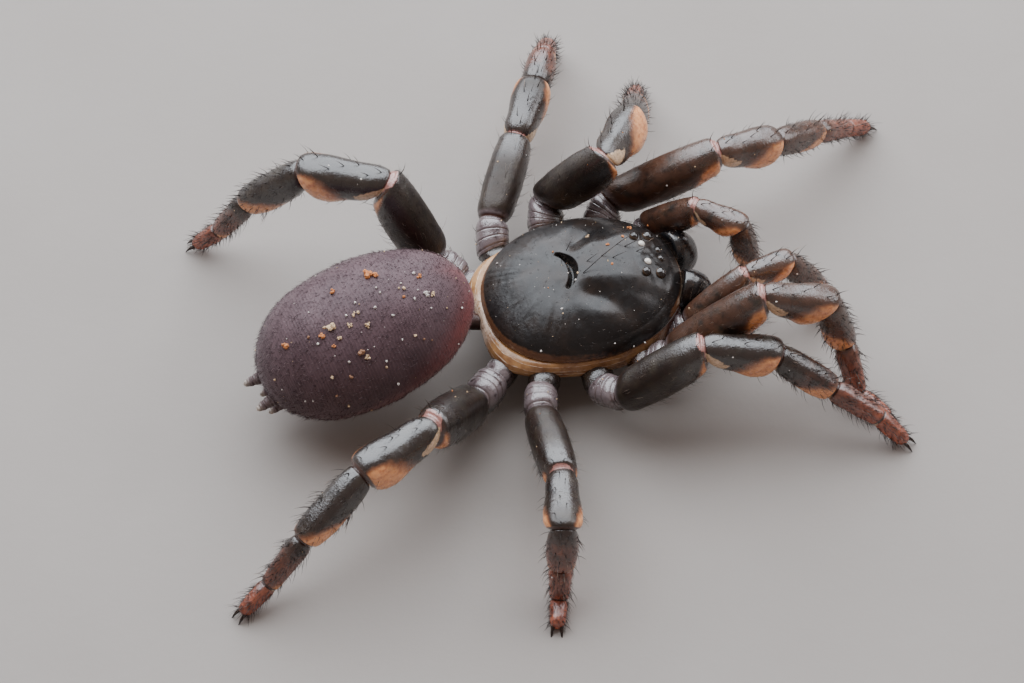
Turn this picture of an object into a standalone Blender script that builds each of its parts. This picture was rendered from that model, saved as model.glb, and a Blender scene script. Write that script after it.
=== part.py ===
"""Trapdoor spider, an adult female standing still, at life size.

Lengths are named in millimetres and built in metres, +Z up. The head points to +X, the
spider's left side to +Y, and the feet rest on z = 0 under the middle of the model.
"""
import math

import bmesh
import bpy
from mathutils import Matrix, Vector

MM = 0.001

# Joins: the gap between neighbouring pieces, and the sinking of a fused root into its body
JOINT_GAP = 0.25
EYE_GAP = 0.05
GROUND_CLEARANCE = 0.25
FUSED_ROOT = 0.14
LOWEST_POINT = 0.01

# Head and chest, with the heights of the carapace's underside, its rim and its crest
BODY_HEADING = 4.0
CARAPACE_LENGTH = 5.4
CARAPACE_WIDTH = 4.5
CARAPACE_UNDERSIDE = 1.8
CARAPACE_RIM = 1.95
CARAPACE_TOP = 3.2
CARAPACE_SIDES = 28
HEAD_RISE_AT = 0.9
REAR_FALL = 0.38
FRONT_FALL = 0.25
FRONT_NARROWING = 0.14
FRONT_BLUNTNESS = 0.86
REAR_BLUNTNESS = 0.92
SIDE_BLUNTNESS = 0.88
DOME_SQUARENESS = 2.7
DOME_FALL = 0.62
RIM_TUCK = 0.15
STERNUM_LENGTH = 3.4
STERNUM_WIDTH = 2.3
STERNUM_SET_BACK = 0.2
STERNUM_BOTTOM = 0.6
STERNUM_SIDES = 20
FOVEA_AT = (-0.28, 0.04)
FOVEA_RADIUS = 0.70
FOVEA_HALF_TURN = 52.0
FOVEA_DEPTH = 0.35
FOVEA_END_WIDTH = 0.05
FOVEA_SWELL = 0.09
FOVEA_FLOOR_SHARE = 0.4
LABIUM_SIZE = (0.38, 0.8, 0.5)
LABIUM_RISE = 0.45

# Eyes: place ahead and to the left of the body's line, and radius
EYE_STANDS_OUT = 0.15
EYES = {
    "front_middle": (2.13, 0.14, 0.10),
    "front_side": (1.98, 0.62, 0.16),
    "rear_middle": (1.71, 0.30, 0.11),
    "rear_side": (1.60, 0.60, 0.13),
}

# Jaws
CHELICERA_CENTRE = (2.74, 0.67, 1.62)
CHELICERA_RADII = (0.68, 0.53, 0.86)
CHELICERA_PITCH = 14.0
FANG_LENGTH = 1.0
FANG_THICKNESS = 0.36
FANG_AHEAD = 0.25
FANG_START_DROOP = 4.0
FANG_CURL = 34.0
FANG_TAPER = 0.75
FANG_ROOT_SHARE = 0.75
FANG_GAP = 0.1
FANG_STEPS = 6

# Rear body
ABDOMEN_LENGTH = 6.2
ABDOMEN_WIDTH = 4.1
ABDOMEN_HEIGHT = 3.9
ABDOMEN_CENTRE = (-6.02, -0.57, 2.5)
ABDOMEN_BEND = 12.0
ABDOMEN_DROOP = 12.0
ABDOMEN_RINGS = 16
ABDOMEN_SIDES = 24
REAR_WIDENING = 0.05
ABDOMEN_BLUNTNESS = 0.94
PEDICEL_WIDTH = 0.55
PEDICEL_MEETS = 0.75
SPINNERET_LENGTH = 0.5
SPINNERET_THICKNESS = 0.5
SPINNERET_DROOP = 10.0

# Spinnerets on each side: place along the abdomen from its rear, turn away from its
# lowest line in radians, and size
SPINNERETS = {"outer": (0.07, 0.90, 0.84), "inner": (0.14, 0.30, 0.72)}

# Limbs
LIMB_SIDES = 12
DEPTH_TO_WIDTH = 1.12
FOOT_HEIGHT = 0.17
COXA_HEIGHT = 1.15
COXA_WIDTH = 0.8
COXA_DROP = 0.1
PALP_COXA_SHARE = 0.8
STEEPEST_FOOT = 0.98
CLAW_LENGTH = 0.34
CLAW_THICKNESS = 0.15
CLAW_SPREAD = 0.09
CLAW_DROOP = 8.0
CLAW_CURL = 55.0
CLAW_TAPER = 0.8
CLAW_STEPS = 4
CLAW_SIDES = 6
SPINE_LENGTH = 0.42
SPINE_THICKNESS = 0.14
SPINE_RISE = 58.0
SPINE_TIP_SHARE = 0.25

# Segment lengths: trochanter, femur, patella, tibia, metatarsus and tarsus; a palp has no metatarsus
SEGMENT_LENGTHS = {
    "leg_1": (0.78, 3.40, 1.80, 1.86, 1.52, 1.04),
    "leg_2": (0.80, 2.75, 1.97, 1.85, 1.55, 1.07),
    "leg_3": (0.88, 2.75, 1.84, 1.18, 1.15, 0.84),
    "leg_4": (0.96, 3.00, 2.23, 2.27, 1.67, 1.04),
    "palp": (0.62, 2.15, 1.20, 1.49, 1.36),
}

# Full widths of the same segments
SEGMENT_WIDTHS = {
    "leg_1": (0.85, 1.02, 0.90, 0.70, 0.52, 0.43),
    "leg_2": (0.85, 1.06, 0.93, 0.72, 0.54, 0.45),
    "leg_3": (0.88, 1.00, 0.98, 0.80, 0.58, 0.46),
    "leg_4": (0.92, 1.12, 1.04, 0.80, 0.54, 0.44),
    "palp": (0.62, 0.72, 0.70, 0.60, 0.54),
}

# Where each coxa ends, ahead of and beside the middle of the carapace
COXA_END = {
    "palp": (2.02, 1.50),
    "leg_1": (1.15, 2.42),
    "leg_2": (-0.25, 2.70),
    "leg_3": (-1.82, 2.36),
    "leg_4": (-2.92, 1.67),
}

# Where each coxa starts: angle round the sternum from straight ahead, in degrees
COXA_START = {"palp": 33, "leg_1": 62, "leg_2": 91, "leg_3": 120, "leg_4": 149}

# Heading and lift of each segment in degrees, from trochanter to metatarsus; the last
# segment has only a heading, because it reaches down to the ground
LIMB_POSE = {
    ("leg_1", "right"): ((4, 34), (-10, 45), (-4, -20), (-12, -74), (-75, -54), (-50,)),
    ("leg_2", "right"): ((-54, 28), (-4, 37), (-10, -12), (-24, -35), (-27, -32), (-34,)),
    ("leg_3", "right"): ((-104, 12), (-90, 18), (-101, 9), (-109, -70), (-110, -74), (-106,)),
    ("leg_4", "right"): ((-134, 8), (-131, 37), (-154, -2), (-152, -29), (-160, -49), (-153,)),
    ("leg_1", "left"): ((51, 23), (-5, 30), (13, -16), (28, -29), (33, -38), (28,)),
    ("leg_2", "left"): ((74, 26), (-19, 55), (55, -17), (72, -41), (79, -45), (70,)),
    ("leg_3", "left"): ((80, 26), (64, 3), (62, 3), (66, -10), (71, -37), (70,)),
    ("leg_4", "left"): ((135, 27), (146, 62), (154, -6), (160, -45), (159, -61), (162,)),
    ("palp", "right"): ((0, 39), (8, 39), (14, -8), (5, -56), (-4,)),
    ("palp", "left"): ((50, 38), (-36, 46), (-38, -4), (-21, -78), (-12,)),
}

# Width along each kind of segment, as (place along it, share of its full width)
HIP_PROFILE = ((0.0, 0.60), (0.12, 0.68), (0.65, 1.0), (0.88, 1.0), (1.0, 0.88))
TROCHANTER_PROFILE = ((0.35, 1.0), (0.8, 0.96), (1.0, 0.74))
FEMUR_PROFILE = (
    (0.0, 0.64),
    (0.07, 0.86),
    (0.28, 1.0),
    (0.6, 1.03),
    (0.86, 0.93),
    (0.96, 0.82),
    (1.0, 0.66),
)
PATELLA_PROFILE = ((0.0, 0.64), (0.08, 0.80), (0.4, 0.92), (0.75, 1.06), (0.94, 0.95), (1.0, 0.80))
TIBIA_PROFILE = ((0.12, 0.96), (0.5, 1.04), (0.85, 0.96), (0.96, 0.84), (1.0, 0.70))
METATARSUS_PROFILE = ((0.0, 0.78), (0.08, 1.0), (0.45, 1.02), (0.85, 0.92), (1.0, 0.84))
TARSUS_PROFILE = ((0.15, 1.0), (0.5, 0.98), (0.8, 0.84), (0.93, 0.66), (1.0, 0.42))
PALP_TIP_PROFILE = ((0.15, 1.0), (0.5, 1.04), (0.8, 0.92), (0.94, 0.68), (1.0, 0.36))
PEDICEL_PROFILE = ((0.0, 0.8), (0.2, 1.0), (0.8, 1.0), (1.0, 0.8))
SPINNERET_PROFILE = ((0.0, 0.9), (0.3, 1.0), (0.7, 0.82), (0.95, 0.5), (1.0, 0.3))

# Swelling of each segment's underside, as a share added to its depth
FEMUR_SWELLING = 0.10
PATELLA_SWELLING = 0.30
TIBIA_SWELLING = 0.14
PALP_SWELLING = 0.06
SWELLING_LATENESS = 1.6

# Stout spines: places along the femur and the patella, each with the corner of the
# limb's section that it grows from; corners 2 and 3 are the two beside the top line
FEMUR_SPINES = ((0.90, 2), (0.88, 3))
PATELLA_SPINES = ((0.22, 3), (0.50, 2), (0.78, 3))


def turned(heading, lift):
    """Unit direction at a heading round +Z and a lift above the horizontal, in degrees."""
    around = math.radians(heading)
    above = math.radians(lift)
    flat = math.cos(above)
    return Vector((math.cos(around) * flat, math.sin(around) * flat, math.sin(above)))


def body_point(ahead, left, height):
    """Point given along the body's own line, turned to the body's heading."""
    return Matrix.Rotation(math.radians(BODY_HEADING), 3, "Z") @ Vector((ahead, left, height))


def surface_material(name, colour, roughness):
    material = bpy.data.materials.new(name)
    material.use_nodes = True
    shader = material.node_tree.nodes["Principled BSDF"]
    shader.inputs["Base Color"].default_value = (*colour, 1.0)
    shader.inputs["Roughness"].default_value = roughness
    shader.inputs["Metallic"].default_value = 0.0
    return material


def make_object(name, mesh_data, pivot, material):
    """Object with its origin on a pivot, from a mesh in millimetres about the model's origin."""
    bmesh.ops.translate(mesh_data, verts=mesh_data.verts, vec=-pivot)
    bmesh.ops.scale(mesh_data, verts=mesh_data.verts, vec=(MM, MM, MM))
    bmesh.ops.recalc_face_normals(mesh_data, faces=mesh_data.faces)
    mesh = bpy.data.meshes.new(name)
    mesh_data.to_mesh(mesh)
    mesh_data.free()
    mesh.materials.append(material)
    mesh.shade_smooth()
    mesh.set_sharp_from_angle(angle=math.radians(40))
    piece = bpy.data.objects.new(name, mesh)
    piece.location = pivot * MM
    bpy.context.scene.collection.objects.link(piece)
    return piece


def loft(rings):
    """Closed surface through rings of equal count, with a flat face at each end."""
    surface = bmesh.new()
    layers = [[surface.verts.new(point) for point in ring] for ring in rings]
    count = len(layers[0])
    for near, far in zip(layers, layers[1:]):
        for side in range(count):
            after = (side + 1) % count
            surface.faces.new((near[side], near[after], far[after], far[side]))
    surface.faces.new(layers[0][::-1])
    surface.faces.new(layers[-1])
    return surface


def round_ring(centre, across, above, half, corners):
    """Points of a circle about a centre, in the plane of two directions."""
    ring = []
    for corner in range(corners):
        angle = 2 * math.pi * corner / corners
        ring.append(centre + across * half * math.cos(angle) + above * half * math.sin(angle))
    return ring


def ball(centre, radii, rings=8, sides=12, turn=None):
    """Closed ellipsoid about a centre."""
    surface = bmesh.new()
    bmesh.ops.create_uvsphere(surface, u_segments=sides, v_segments=rings, radius=1)
    bmesh.ops.scale(surface, verts=surface.verts, vec=radii)
    if turn:
        bmesh.ops.rotate(surface, verts=surface.verts, matrix=turn)
    bmesh.ops.translate(surface, verts=surface.verts, vec=centre)
    return surface


def carve(body, tools, operation):
    """Cut closed tools out of a body, or fuse them to it, then remove them."""
    group = bpy.data.collections.new("carving")
    for tool in tools:
        bpy.context.scene.collection.objects.unlink(tool)
        group.objects.link(tool)
    bpy.context.scene.collection.children.link(group)
    modifier = body.modifiers.new("carving", "BOOLEAN")
    modifier.operation = operation
    modifier.operand_type = "COLLECTION"
    modifier.collection = group
    graph = bpy.context.evaluated_depsgraph_get()
    carved = bpy.data.meshes.new_from_object(body.evaluated_get(graph))
    body.modifiers.clear()
    body.data = carved
    for tool in tools:
        bpy.data.objects.remove(tool)
    bpy.data.collections.remove(group)


def segment_rings(start, end, start_plane, end_plane, profile, width, swelling=0.0):
    """Rings of one limb segment, whose long lines run from one joint plane to the next.

    A plane is a point and a normal. The swelling deepens the underside, most towards its far end.
    """
    along = (end - start).normalized()
    side = along.cross(Vector((0, 0, 1))).normalized()
    above = side.cross(along)
    rings = []
    for place, share in profile:
        ring = []
        for step in range(LIMB_SIDES):
            angle = 2 * math.pi * (step + 0.5) / LIMB_SIDES
            half = width * share / 2
            up = half * DEPTH_TO_WIDTH * math.sin(angle)
            if up < 0:
                up *= 1 + swelling * math.sin(math.pi * place ** SWELLING_LATENESS)
            offset = side * half * math.cos(angle) + above * up
            base = start + offset
            first = (start_plane[0] - base).dot(start_plane[1]) / along.dot(start_plane[1])
            last = (end_plane[0] - base).dot(end_plane[1]) / along.dot(end_plane[1])
            ring.append(base + along * (first + (last - first) * place))
        rings.append(ring)
    return rings


def joint_normal(points, index):
    """Normal of the plane that halves the bend at a joint."""
    if index == 0:
        return (points[1] - points[0]).normalized()
    before = (points[index] - points[index - 1]).normalized()
    if index + 1 >= len(points):
        return before
    after = (points[index + 1] - points[index]).normalized()
    return (before + after).normalized()


def sternum_edge(angle, share, height, grow=0.0):
    """Point at an angle round the sternum, at a share of its plan or grown beyond it."""
    ahead = (STERNUM_LENGTH / 2 * share + grow) * math.cos(angle) - STERNUM_SET_BACK
    left = (STERNUM_WIDTH / 2 * share + grow) * math.sin(angle)
    return body_point(ahead, left, height)


def limb_points(kind, side):
    """Joints from the coxa's inner end to the tip."""
    mirror = 1 if side == "left" else -1
    ahead, out = COXA_END[kind]
    start_angle = math.radians(COXA_START[kind]) * mirror
    hub = sternum_edge(start_angle, 1.0, COXA_HEIGHT - COXA_DROP, JOINT_GAP)
    points = [hub, body_point(ahead, out * mirror, COXA_HEIGHT)]
    for length, angles in zip(SEGMENT_LENGTHS[kind], LIMB_POSE[kind, side]):
        start = points[-1]
        if len(angles) == 2:
            direction = turned(*angles)
        else:
            drop = min((start.z - FOOT_HEIGHT) / length, STEEPEST_FOOT)
            direction = turned(angles[0], -math.degrees(math.asin(drop)))
        points.append(start + direction * length)
    return points


def node_solid(name, points, first, parts, material):
    """Limb node that starts at one of a limb's joints, each end parallel to its joint's plane.

    parts holds a profile, a width and an underside swelling for each of its segments.
    """
    rings = []
    last = first + len(parts)
    for index, (profile, width, swelling) in enumerate(parts, first):
        near = joint_normal(points, index)
        far = joint_normal(points, index + 1)
        near_at = points[index].copy()
        far_at = points[index + 1].copy()
        if index == first and index > 0:
            near_at += near * JOINT_GAP / 2
        if index + 1 == last and last < len(points) - 1:
            far_at -= far * JOINT_GAP / 2
        start, end = points[index], points[index + 1]
        rings += segment_rings(start, end, (near_at, near), (far_at, far), profile, width, swelling)
    for ring in rings:
        for point in ring:
            point.z = max(point.z, 0.0)
    return make_object(name, loft(rings), points[first].copy(), material)


def claw(points, sideways):
    """One hooked claw, its root sunk into the tip of a foot."""
    along = (points[-1] - points[-2]).normalized()
    level = Vector((along.x, along.y, 0)).normalized()
    side = level.cross(Vector((0, 0, 1)))
    centre = points[-1] - along * FUSED_ROOT + side * sideways * CLAW_SPREAD
    rings = []
    for step in range(CLAW_STEPS + 1):
        share = step / CLAW_STEPS
        bend = math.radians(-CLAW_DROOP - CLAW_CURL * share)
        direction = level * math.cos(bend) + Vector((0, 0, 1)) * math.sin(bend)
        if step:
            centre = centre + direction * (CLAW_LENGTH + FUSED_ROOT) / CLAW_STEPS
        half = CLAW_THICKNESS / 2 * (1 - CLAW_TAPER * share)
        ring = round_ring(centre, side, direction.cross(side), half, CLAW_SIDES)
        for point in ring:
            point.z = max(point.z, LOWEST_POINT)
        rings.append(ring)
    return loft(rings)


def spine(root, outward, along):
    """One stout tapered spine that leans towards the limb's tip, its root sunk into the segment."""
    rise = math.radians(SPINE_RISE)
    direction = along * math.cos(rise) + outward * math.sin(rise)
    side = direction.cross(along).normalized()
    above = side.cross(direction)
    start = root - direction * FUSED_ROOT
    end = root + direction * SPINE_LENGTH
    thick = round_ring(start, side, above, SPINE_THICKNESS / 2, 4)
    thin = round_ring(end, side, above, SPINE_THICKNESS / 2 * SPINE_TIP_SHARE, 4)
    return loft([thick, thin])


def add_spines(node, points, index, profile, width, spots, material):
    """Fuse stout spines to the top of one segment of a node."""
    start, end = points[index], points[index + 1]
    along = (end - start).normalized()
    near = (start, joint_normal(points, index))
    far = (end, joint_normal(points, index + 1))
    tools = []
    for place, corner in spots:
        ring = segment_rings(start, end, near, far, ((place, profile[3][1]),), width)[0]
        root = ring[corner]
        middle = sum(ring, Vector()) / len(ring)
        outward = root - middle
        outward = (outward - along * outward.dot(along)).normalized()
        thorn = spine(root - outward * FUSED_ROOT / 2, outward, along)
        tools.append(make_object("spine", thorn, root, material))
    carve(node, tools, "UNION")


def leg(kind, side, materials):
    """The four nodes of a leg: coxa, femur, patella with tibia, and foot."""
    points = limb_points(kind, side)
    trochanter, femur, patella, tibia, metatarsus, tarsus = SEGMENT_WIDTHS[kind]
    name = f"{kind}_{side}_"
    hip_parts = ((HIP_PROFILE, COXA_WIDTH, 0), (TROCHANTER_PROFILE, trochanter, 0))
    thigh_parts = ((FEMUR_PROFILE, femur, FEMUR_SWELLING),)
    shin_parts = ((PATELLA_PROFILE, patella, PATELLA_SWELLING), (TIBIA_PROFILE, tibia, TIBIA_SWELLING))
    foot_parts = ((METATARSUS_PROFILE, metatarsus, 0), (TARSUS_PROFILE, tarsus, 0))
    hip = node_solid(name + "coxa", points, 0, hip_parts, materials["joint"])
    thigh = node_solid(name + "femur", points, 2, thigh_parts, materials["shell"])
    shin = node_solid(name + "patella_tibia", points, 3, shin_parts, materials["shell"])
    foot = node_solid(name + "foot", points, 5, foot_parts, materials["foot"])
    add_spines(thigh, points, 2, FEMUR_PROFILE, femur, FEMUR_SPINES, materials["shell"])
    add_spines(shin, points, 3, PATELLA_PROFILE, patella, PATELLA_SPINES, materials["shell"])
    claws = []
    for sideways in (-1, 1):
        hook = claw(points, sideways)
        claws.append(make_object("claw", hook, points[-1].copy(), materials["shell"]))
    carve(foot, claws, "UNION")
    return [hip, thigh, shin, foot]


def palp(side, materials):
    """The three nodes of a palp: its coxa beside the mouth, its femur, and the rest."""
    points = limb_points("palp", side)
    trochanter, femur, patella, tibia, tarsus = SEGMENT_WIDTHS["palp"]
    name = f"palp_{side}_"
    hip_parts = ((HIP_PROFILE, COXA_WIDTH * PALP_COXA_SHARE, 0), (TROCHANTER_PROFILE, trochanter, 0))
    thigh_parts = ((FEMUR_PROFILE, femur, PALP_SWELLING),)
    tip_parts = (
        (PATELLA_PROFILE, patella, PALP_SWELLING),
        (TIBIA_PROFILE, tibia, PALP_SWELLING),
        (PALP_TIP_PROFILE, tarsus, 0),
    )
    return [
        node_solid(name + "coxa", points, 0, hip_parts, materials["joint"]),
        node_solid(name + "femur", points, 2, thigh_parts, materials["shell"]),
        node_solid(name + "tip", points, 3, tip_parts, materials["foot"]),
    ]


def carapace_outline(angle, grow):
    """Plan point of the carapace's edge, blunt at both ends and narrower in front."""
    forward = math.cos(angle)
    across = math.sin(angle) * (1 - FRONT_NARROWING * max(0.0, forward) ** 1.3)
    blunt = FRONT_BLUNTNESS if forward > 0 else REAR_BLUNTNESS
    ahead = (CARAPACE_LENGTH / 2 + grow) * math.copysign(abs(forward) ** blunt, forward)
    left = (CARAPACE_WIDTH / 2 + grow) * math.copysign(abs(across) ** SIDE_BLUNTNESS, across)
    return ahead, left


def carapace_top(ahead):
    """Height of the carapace's crest, highest over the head and lower to the rear."""
    rear = min(0.0, ahead - HEAD_RISE_AT) / (CARAPACE_LENGTH / 2)
    front = max(0.0, ahead - HEAD_RISE_AT) / (CARAPACE_LENGTH / 2)
    return CARAPACE_TOP - REAR_FALL * rear ** 2 - FRONT_FALL * front ** 2


def dome(crest, share):
    """Height at a share of the way from the middle to the edge, under a crest height."""
    return CARAPACE_RIM + (crest - CARAPACE_RIM) * (1 - share ** DOME_SQUARENESS) ** DOME_FALL


def carapace_surface(ahead, left):
    """Height of the carapace over a plan point inside its edge."""
    angle = math.atan2(left / (CARAPACE_WIDTH / 2), ahead / (CARAPACE_LENGTH / 2))
    edge = carapace_outline(angle, 0)
    share = min(1.0, math.hypot(ahead, left) / math.hypot(*edge))
    return dome(carapace_top(ahead), share)


def carapace_mesh(grow):
    """Domed shell with steep sides, as wide as named or grown all round."""
    shares = (1.0, 0.985, 0.95, 0.88, 0.77, 0.62, 0.44, 0.22)
    angles = [2 * math.pi * step / CARAPACE_SIDES for step in range(CARAPACE_SIDES)]
    floor = CARAPACE_UNDERSIDE - grow
    rings = [[body_point(*carapace_outline(angle, grow - RIM_TUCK), floor) for angle in angles]]
    for share in shares:
        ring = []
        for angle in angles:
            ahead, left = carapace_outline(angle, grow)
            crest = carapace_top(ahead * share) + grow
            ring.append(body_point(ahead * share, left * share, dome(crest, share)))
        rings.append(ring)
    shell = loft(rings)
    shell.faces.ensure_lookup_table()
    bmesh.ops.poke(shell, faces=[shell.faces[-1]])
    return shell


def fovea_cutter():
    """Crescent pit behind the head, its ends swept back."""
    rings = []
    steps = 6
    above_shell = 0.35
    for step in range(steps + 1):
        angle = math.radians(FOVEA_HALF_TURN * (2 * step / steps - 1))
        wide = FOVEA_END_WIDTH + FOVEA_SWELL * math.cos(angle * 1.45)
        narrow = wide * FOVEA_FLOOR_SHARE
        corners = ((-wide, above_shell), (wide, above_shell), (narrow, -FOVEA_DEPTH), (-narrow, -FOVEA_DEPTH))
        ring = []
        for offset, height in corners:
            ahead = FOVEA_AT[0] - FOVEA_RADIUS + (FOVEA_RADIUS + offset) * math.cos(angle)
            left = FOVEA_AT[1] + (FOVEA_RADIUS + offset) * math.sin(angle)
            ring.append(body_point(ahead, left, carapace_surface(ahead, left) + height))
        rings.append(ring)
    return loft(rings)


def cephalothorax(materials):
    """Carapace with its pit and eye sockets, the eyes, the sternum and the labium."""
    middle = body_point(0, 0, CARAPACE_UNDERSIDE)
    shell = make_object("carapace", carapace_mesh(0), middle, materials["shell"])
    tools = [make_object("pit", fovea_cutter(), middle, materials["shell"])]
    eyes = []
    for label, (ahead, out, radius) in EYES.items():
        for side, mirror in (("left", 1), ("right", -1)):
            left = out * mirror
            centre = body_point(ahead, left, carapace_surface(ahead, left) + radius * EYE_STANDS_OUT)
            socket = ball(centre, [radius + EYE_GAP] * 3)
            tools.append(make_object("socket", socket, centre, materials["shell"]))
            lens = ball(centre, [radius] * 3)
            eyes.append(make_object(f"eye_{label}_{side}", lens, centre, materials["eye"]))
    carve(shell, tools, "DIFFERENCE")
    return [shell, *eyes, sternum(materials), labium(materials)]


def sternum(materials):
    """Breastplate that fills the space between the coxae."""
    top = CARAPACE_UNDERSIDE - JOINT_GAP
    levels = (
        (STERNUM_BOTTOM, 0.62),
        (STERNUM_BOTTOM + 0.12, 0.86),
        (STERNUM_BOTTOM + 0.3, 1.0),
        (top - 0.1, 1.0),
        (top, 0.92),
    )
    angles = [2 * math.pi * step / STERNUM_SIDES for step in range(STERNUM_SIDES)]
    rings = [[sternum_edge(angle, share, height) for angle in angles] for height, share in levels]
    return make_object("sternum", loft(rings), body_point(0, 0, top), materials["joint"])


def labium(materials):
    """Small lip in front of the sternum, between the palps' coxae."""
    length, width, height = LABIUM_SIZE
    ahead = STERNUM_LENGTH / 2 - STERNUM_SET_BACK + JOINT_GAP + length / 2
    centre = body_point(ahead, 0, STERNUM_BOTTOM + LABIUM_RISE)
    lip = ball(centre, (length / 2, width / 2, height / 2))
    return make_object("labium", lip, centre, materials["joint"])


def jaws(materials):
    """Two stout chelicerae under the front of the carapace, each with a folded fang."""
    pieces = []
    heading = Matrix.Rotation(math.radians(BODY_HEADING), 3, "Z")
    pitch = heading @ Matrix.Rotation(math.radians(-CHELICERA_PITCH), 3, "Y")
    for side, mirror in (("left", 1), ("right", -1)):
        ahead, out, height = CHELICERA_CENTRE
        centre = body_point(ahead, out * mirror, height)
        base = ball(centre, CHELICERA_RADII, 12, 16, pitch)
        chelicera = make_object(f"chelicera_{side}", base, centre, materials["shell"])
        clearance = make_object("clearance", carapace_mesh(JOINT_GAP), centre, materials["shell"])
        carve(chelicera, [clearance], "DIFFERENCE")
        pieces.append(chelicera)
        pieces.append(fang(side, mirror, materials))
    return pieces


def fang(side, mirror, materials):
    """Curved fang that lies folded back under its chelicera."""
    ahead, out, height = CHELICERA_CENTRE
    root_height = height - CHELICERA_RADII[2] - FANG_GAP - FANG_THICKNESS / 2
    root = body_point(ahead + FANG_AHEAD, out * mirror, root_height)
    centre = root.copy()
    across = body_point(0, 1, 0)
    rings = []
    for step in range(FANG_STEPS + 1):
        share = step / FANG_STEPS
        direction = turned(BODY_HEADING + 180, -FANG_START_DROOP - FANG_CURL * share)
        if step:
            centre = centre + direction * FANG_LENGTH / FANG_STEPS
        half = FANG_THICKNESS / 2 * (1 - FANG_TAPER * share ** 1.4)
        if step == 0:
            half *= FANG_ROOT_SHARE
        rings.append(round_ring(centre, across, across.cross(direction), half, 8))
    return make_object(f"fang_{side}", loft(rings), root, materials["shell"])


def abdomen_point(share, angle):
    """Point on the abdomen at a share of its length from the rear and an angle round it."""
    along = -math.cos(math.pi * share)
    round_off = math.sqrt(max(0.0, 1 - along * along)) ** ABDOMEN_BLUNTNESS
    egg = 1 - REAR_WIDENING * along
    local = Vector((
        ABDOMEN_LENGTH / 2 * along,
        ABDOMEN_WIDTH / 2 * round_off * egg * math.cos(angle),
        ABDOMEN_HEIGHT / 2 * round_off * egg * math.sin(angle),
    ))
    bend = Matrix.Rotation(math.radians(ABDOMEN_BEND), 3, "Z")
    droop = Matrix.Rotation(math.radians(-ABDOMEN_DROOP), 3, "Y")
    return Vector(ABDOMEN_CENTRE) + bend @ droop @ local


def rear_body(materials):
    """Abdomen, the pedicel that carries it, and four spinnerets under its rear end."""
    rings = []
    for step in range(1, ABDOMEN_RINGS):
        ring = []
        for side in range(ABDOMEN_SIDES):
            point = abdomen_point(step / ABDOMEN_RINGS, 2 * math.pi * side / ABDOMEN_SIDES)
            point.z = max(point.z, GROUND_CLEARANCE)
            ring.append(point)
        rings.append(ring)
    body = loft(rings)
    body.faces.ensure_lookup_table()
    ends = [face for face in body.faces if len(face.verts) == ABDOMEN_SIDES]
    for face, share in zip(ends, (0.0, 1.0)):
        poked = bmesh.ops.poke(body, faces=[face])
        poked["verts"][0].co = abdomen_point(share, 0)
    abdomen = make_object("abdomen", body, Vector(ABDOMEN_CENTRE), materials["abdomen"])
    return [abdomen, pedicel(materials), *spinnerets(materials)]


def pedicel(materials):
    """Waist between the chest and the abdomen."""
    start = body_point(-STERNUM_LENGTH / 2 - STERNUM_SET_BACK - JOINT_GAP, 0, COXA_HEIGHT)
    towards = abdomen_point(PEDICEL_MEETS, -math.pi / 2)
    along = (towards - start).normalized()
    end = towards - along * JOINT_GAP
    rings = segment_rings(start, end, (start, along), (end, along), PEDICEL_PROFILE, PEDICEL_WIDTH)
    return make_object("pedicel", loft(rings), start, materials["joint"])


def spinnerets(materials):
    """Four short tapered spinnerets, the outer pair larger."""
    pieces = []
    for label, (share, spread, size) in SPINNERETS.items():
        for side, mirror in (("left", 1), ("right", -1)):
            root = abdomen_point(share, -math.pi / 2 + mirror * spread)
            outward = (root - Vector(ABDOMEN_CENTRE)).normalized()
            along = (outward + turned(ABDOMEN_BEND + 180, -SPINNERET_DROOP)).normalized()
            start = root + outward * JOINT_GAP
            end = start + along * SPINNERET_LENGTH * size
            width = SPINNERET_THICKNESS * size
            rings = segment_rings(start, end, (start, outward), (end, along), SPINNERET_PROFILE, width)
            pieces.append(make_object(f"spinneret_{label}_{side}", loft(rings), start, materials["joint"]))
    return pieces


def stand_on_floor(pieces):
    """Parent all pieces to one empty and move it, so that the model's middle is over the origin."""
    corners = [piece.location + vertex.co for piece in pieces for vertex in piece.data.vertices]
    middle_x = (min(c.x for c in corners) + max(c.x for c in corners)) / 2
    middle_y = (min(c.y for c in corners) + max(c.y for c in corners)) / 2
    root = bpy.data.objects.new("spider", None)
    bpy.context.scene.collection.objects.link(root)
    root.location = (-middle_x, -middle_y, 0)
    for piece in pieces:
        piece.parent = root


def main():
    for old in list(bpy.data.objects):
        bpy.data.objects.remove(old)
    materials = {
        "shell": surface_material("black_shell", (0.012, 0.011, 0.013), 0.22),
        "joint": surface_material("banded_joint_skin", (0.16, 0.11, 0.10), 0.35),
        "foot": surface_material("reddish_foot", (0.20, 0.06, 0.04), 0.45),
        "abdomen": surface_material("velvet_abdomen", (0.045, 0.028, 0.035), 0.6),
        "eye": surface_material("eye", (0.02, 0.02, 0.02), 0.05),
    }
    pieces = cephalothorax(materials) + jaws(materials) + rear_body(materials)
    for side in ("left", "right"):
        pieces += palp(side, materials)
        for kind in ("leg_1", "leg_2", "leg_3", "leg_4"):
            pieces += leg(kind, side, materials)
    stand_on_floor(pieces)


main()
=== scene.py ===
"""Looks of the trapdoor spider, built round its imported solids. Lengths are in millimetres."""
import math

import bpy
import numpy as np
from mathutils import Matrix, Vector, noise


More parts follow.
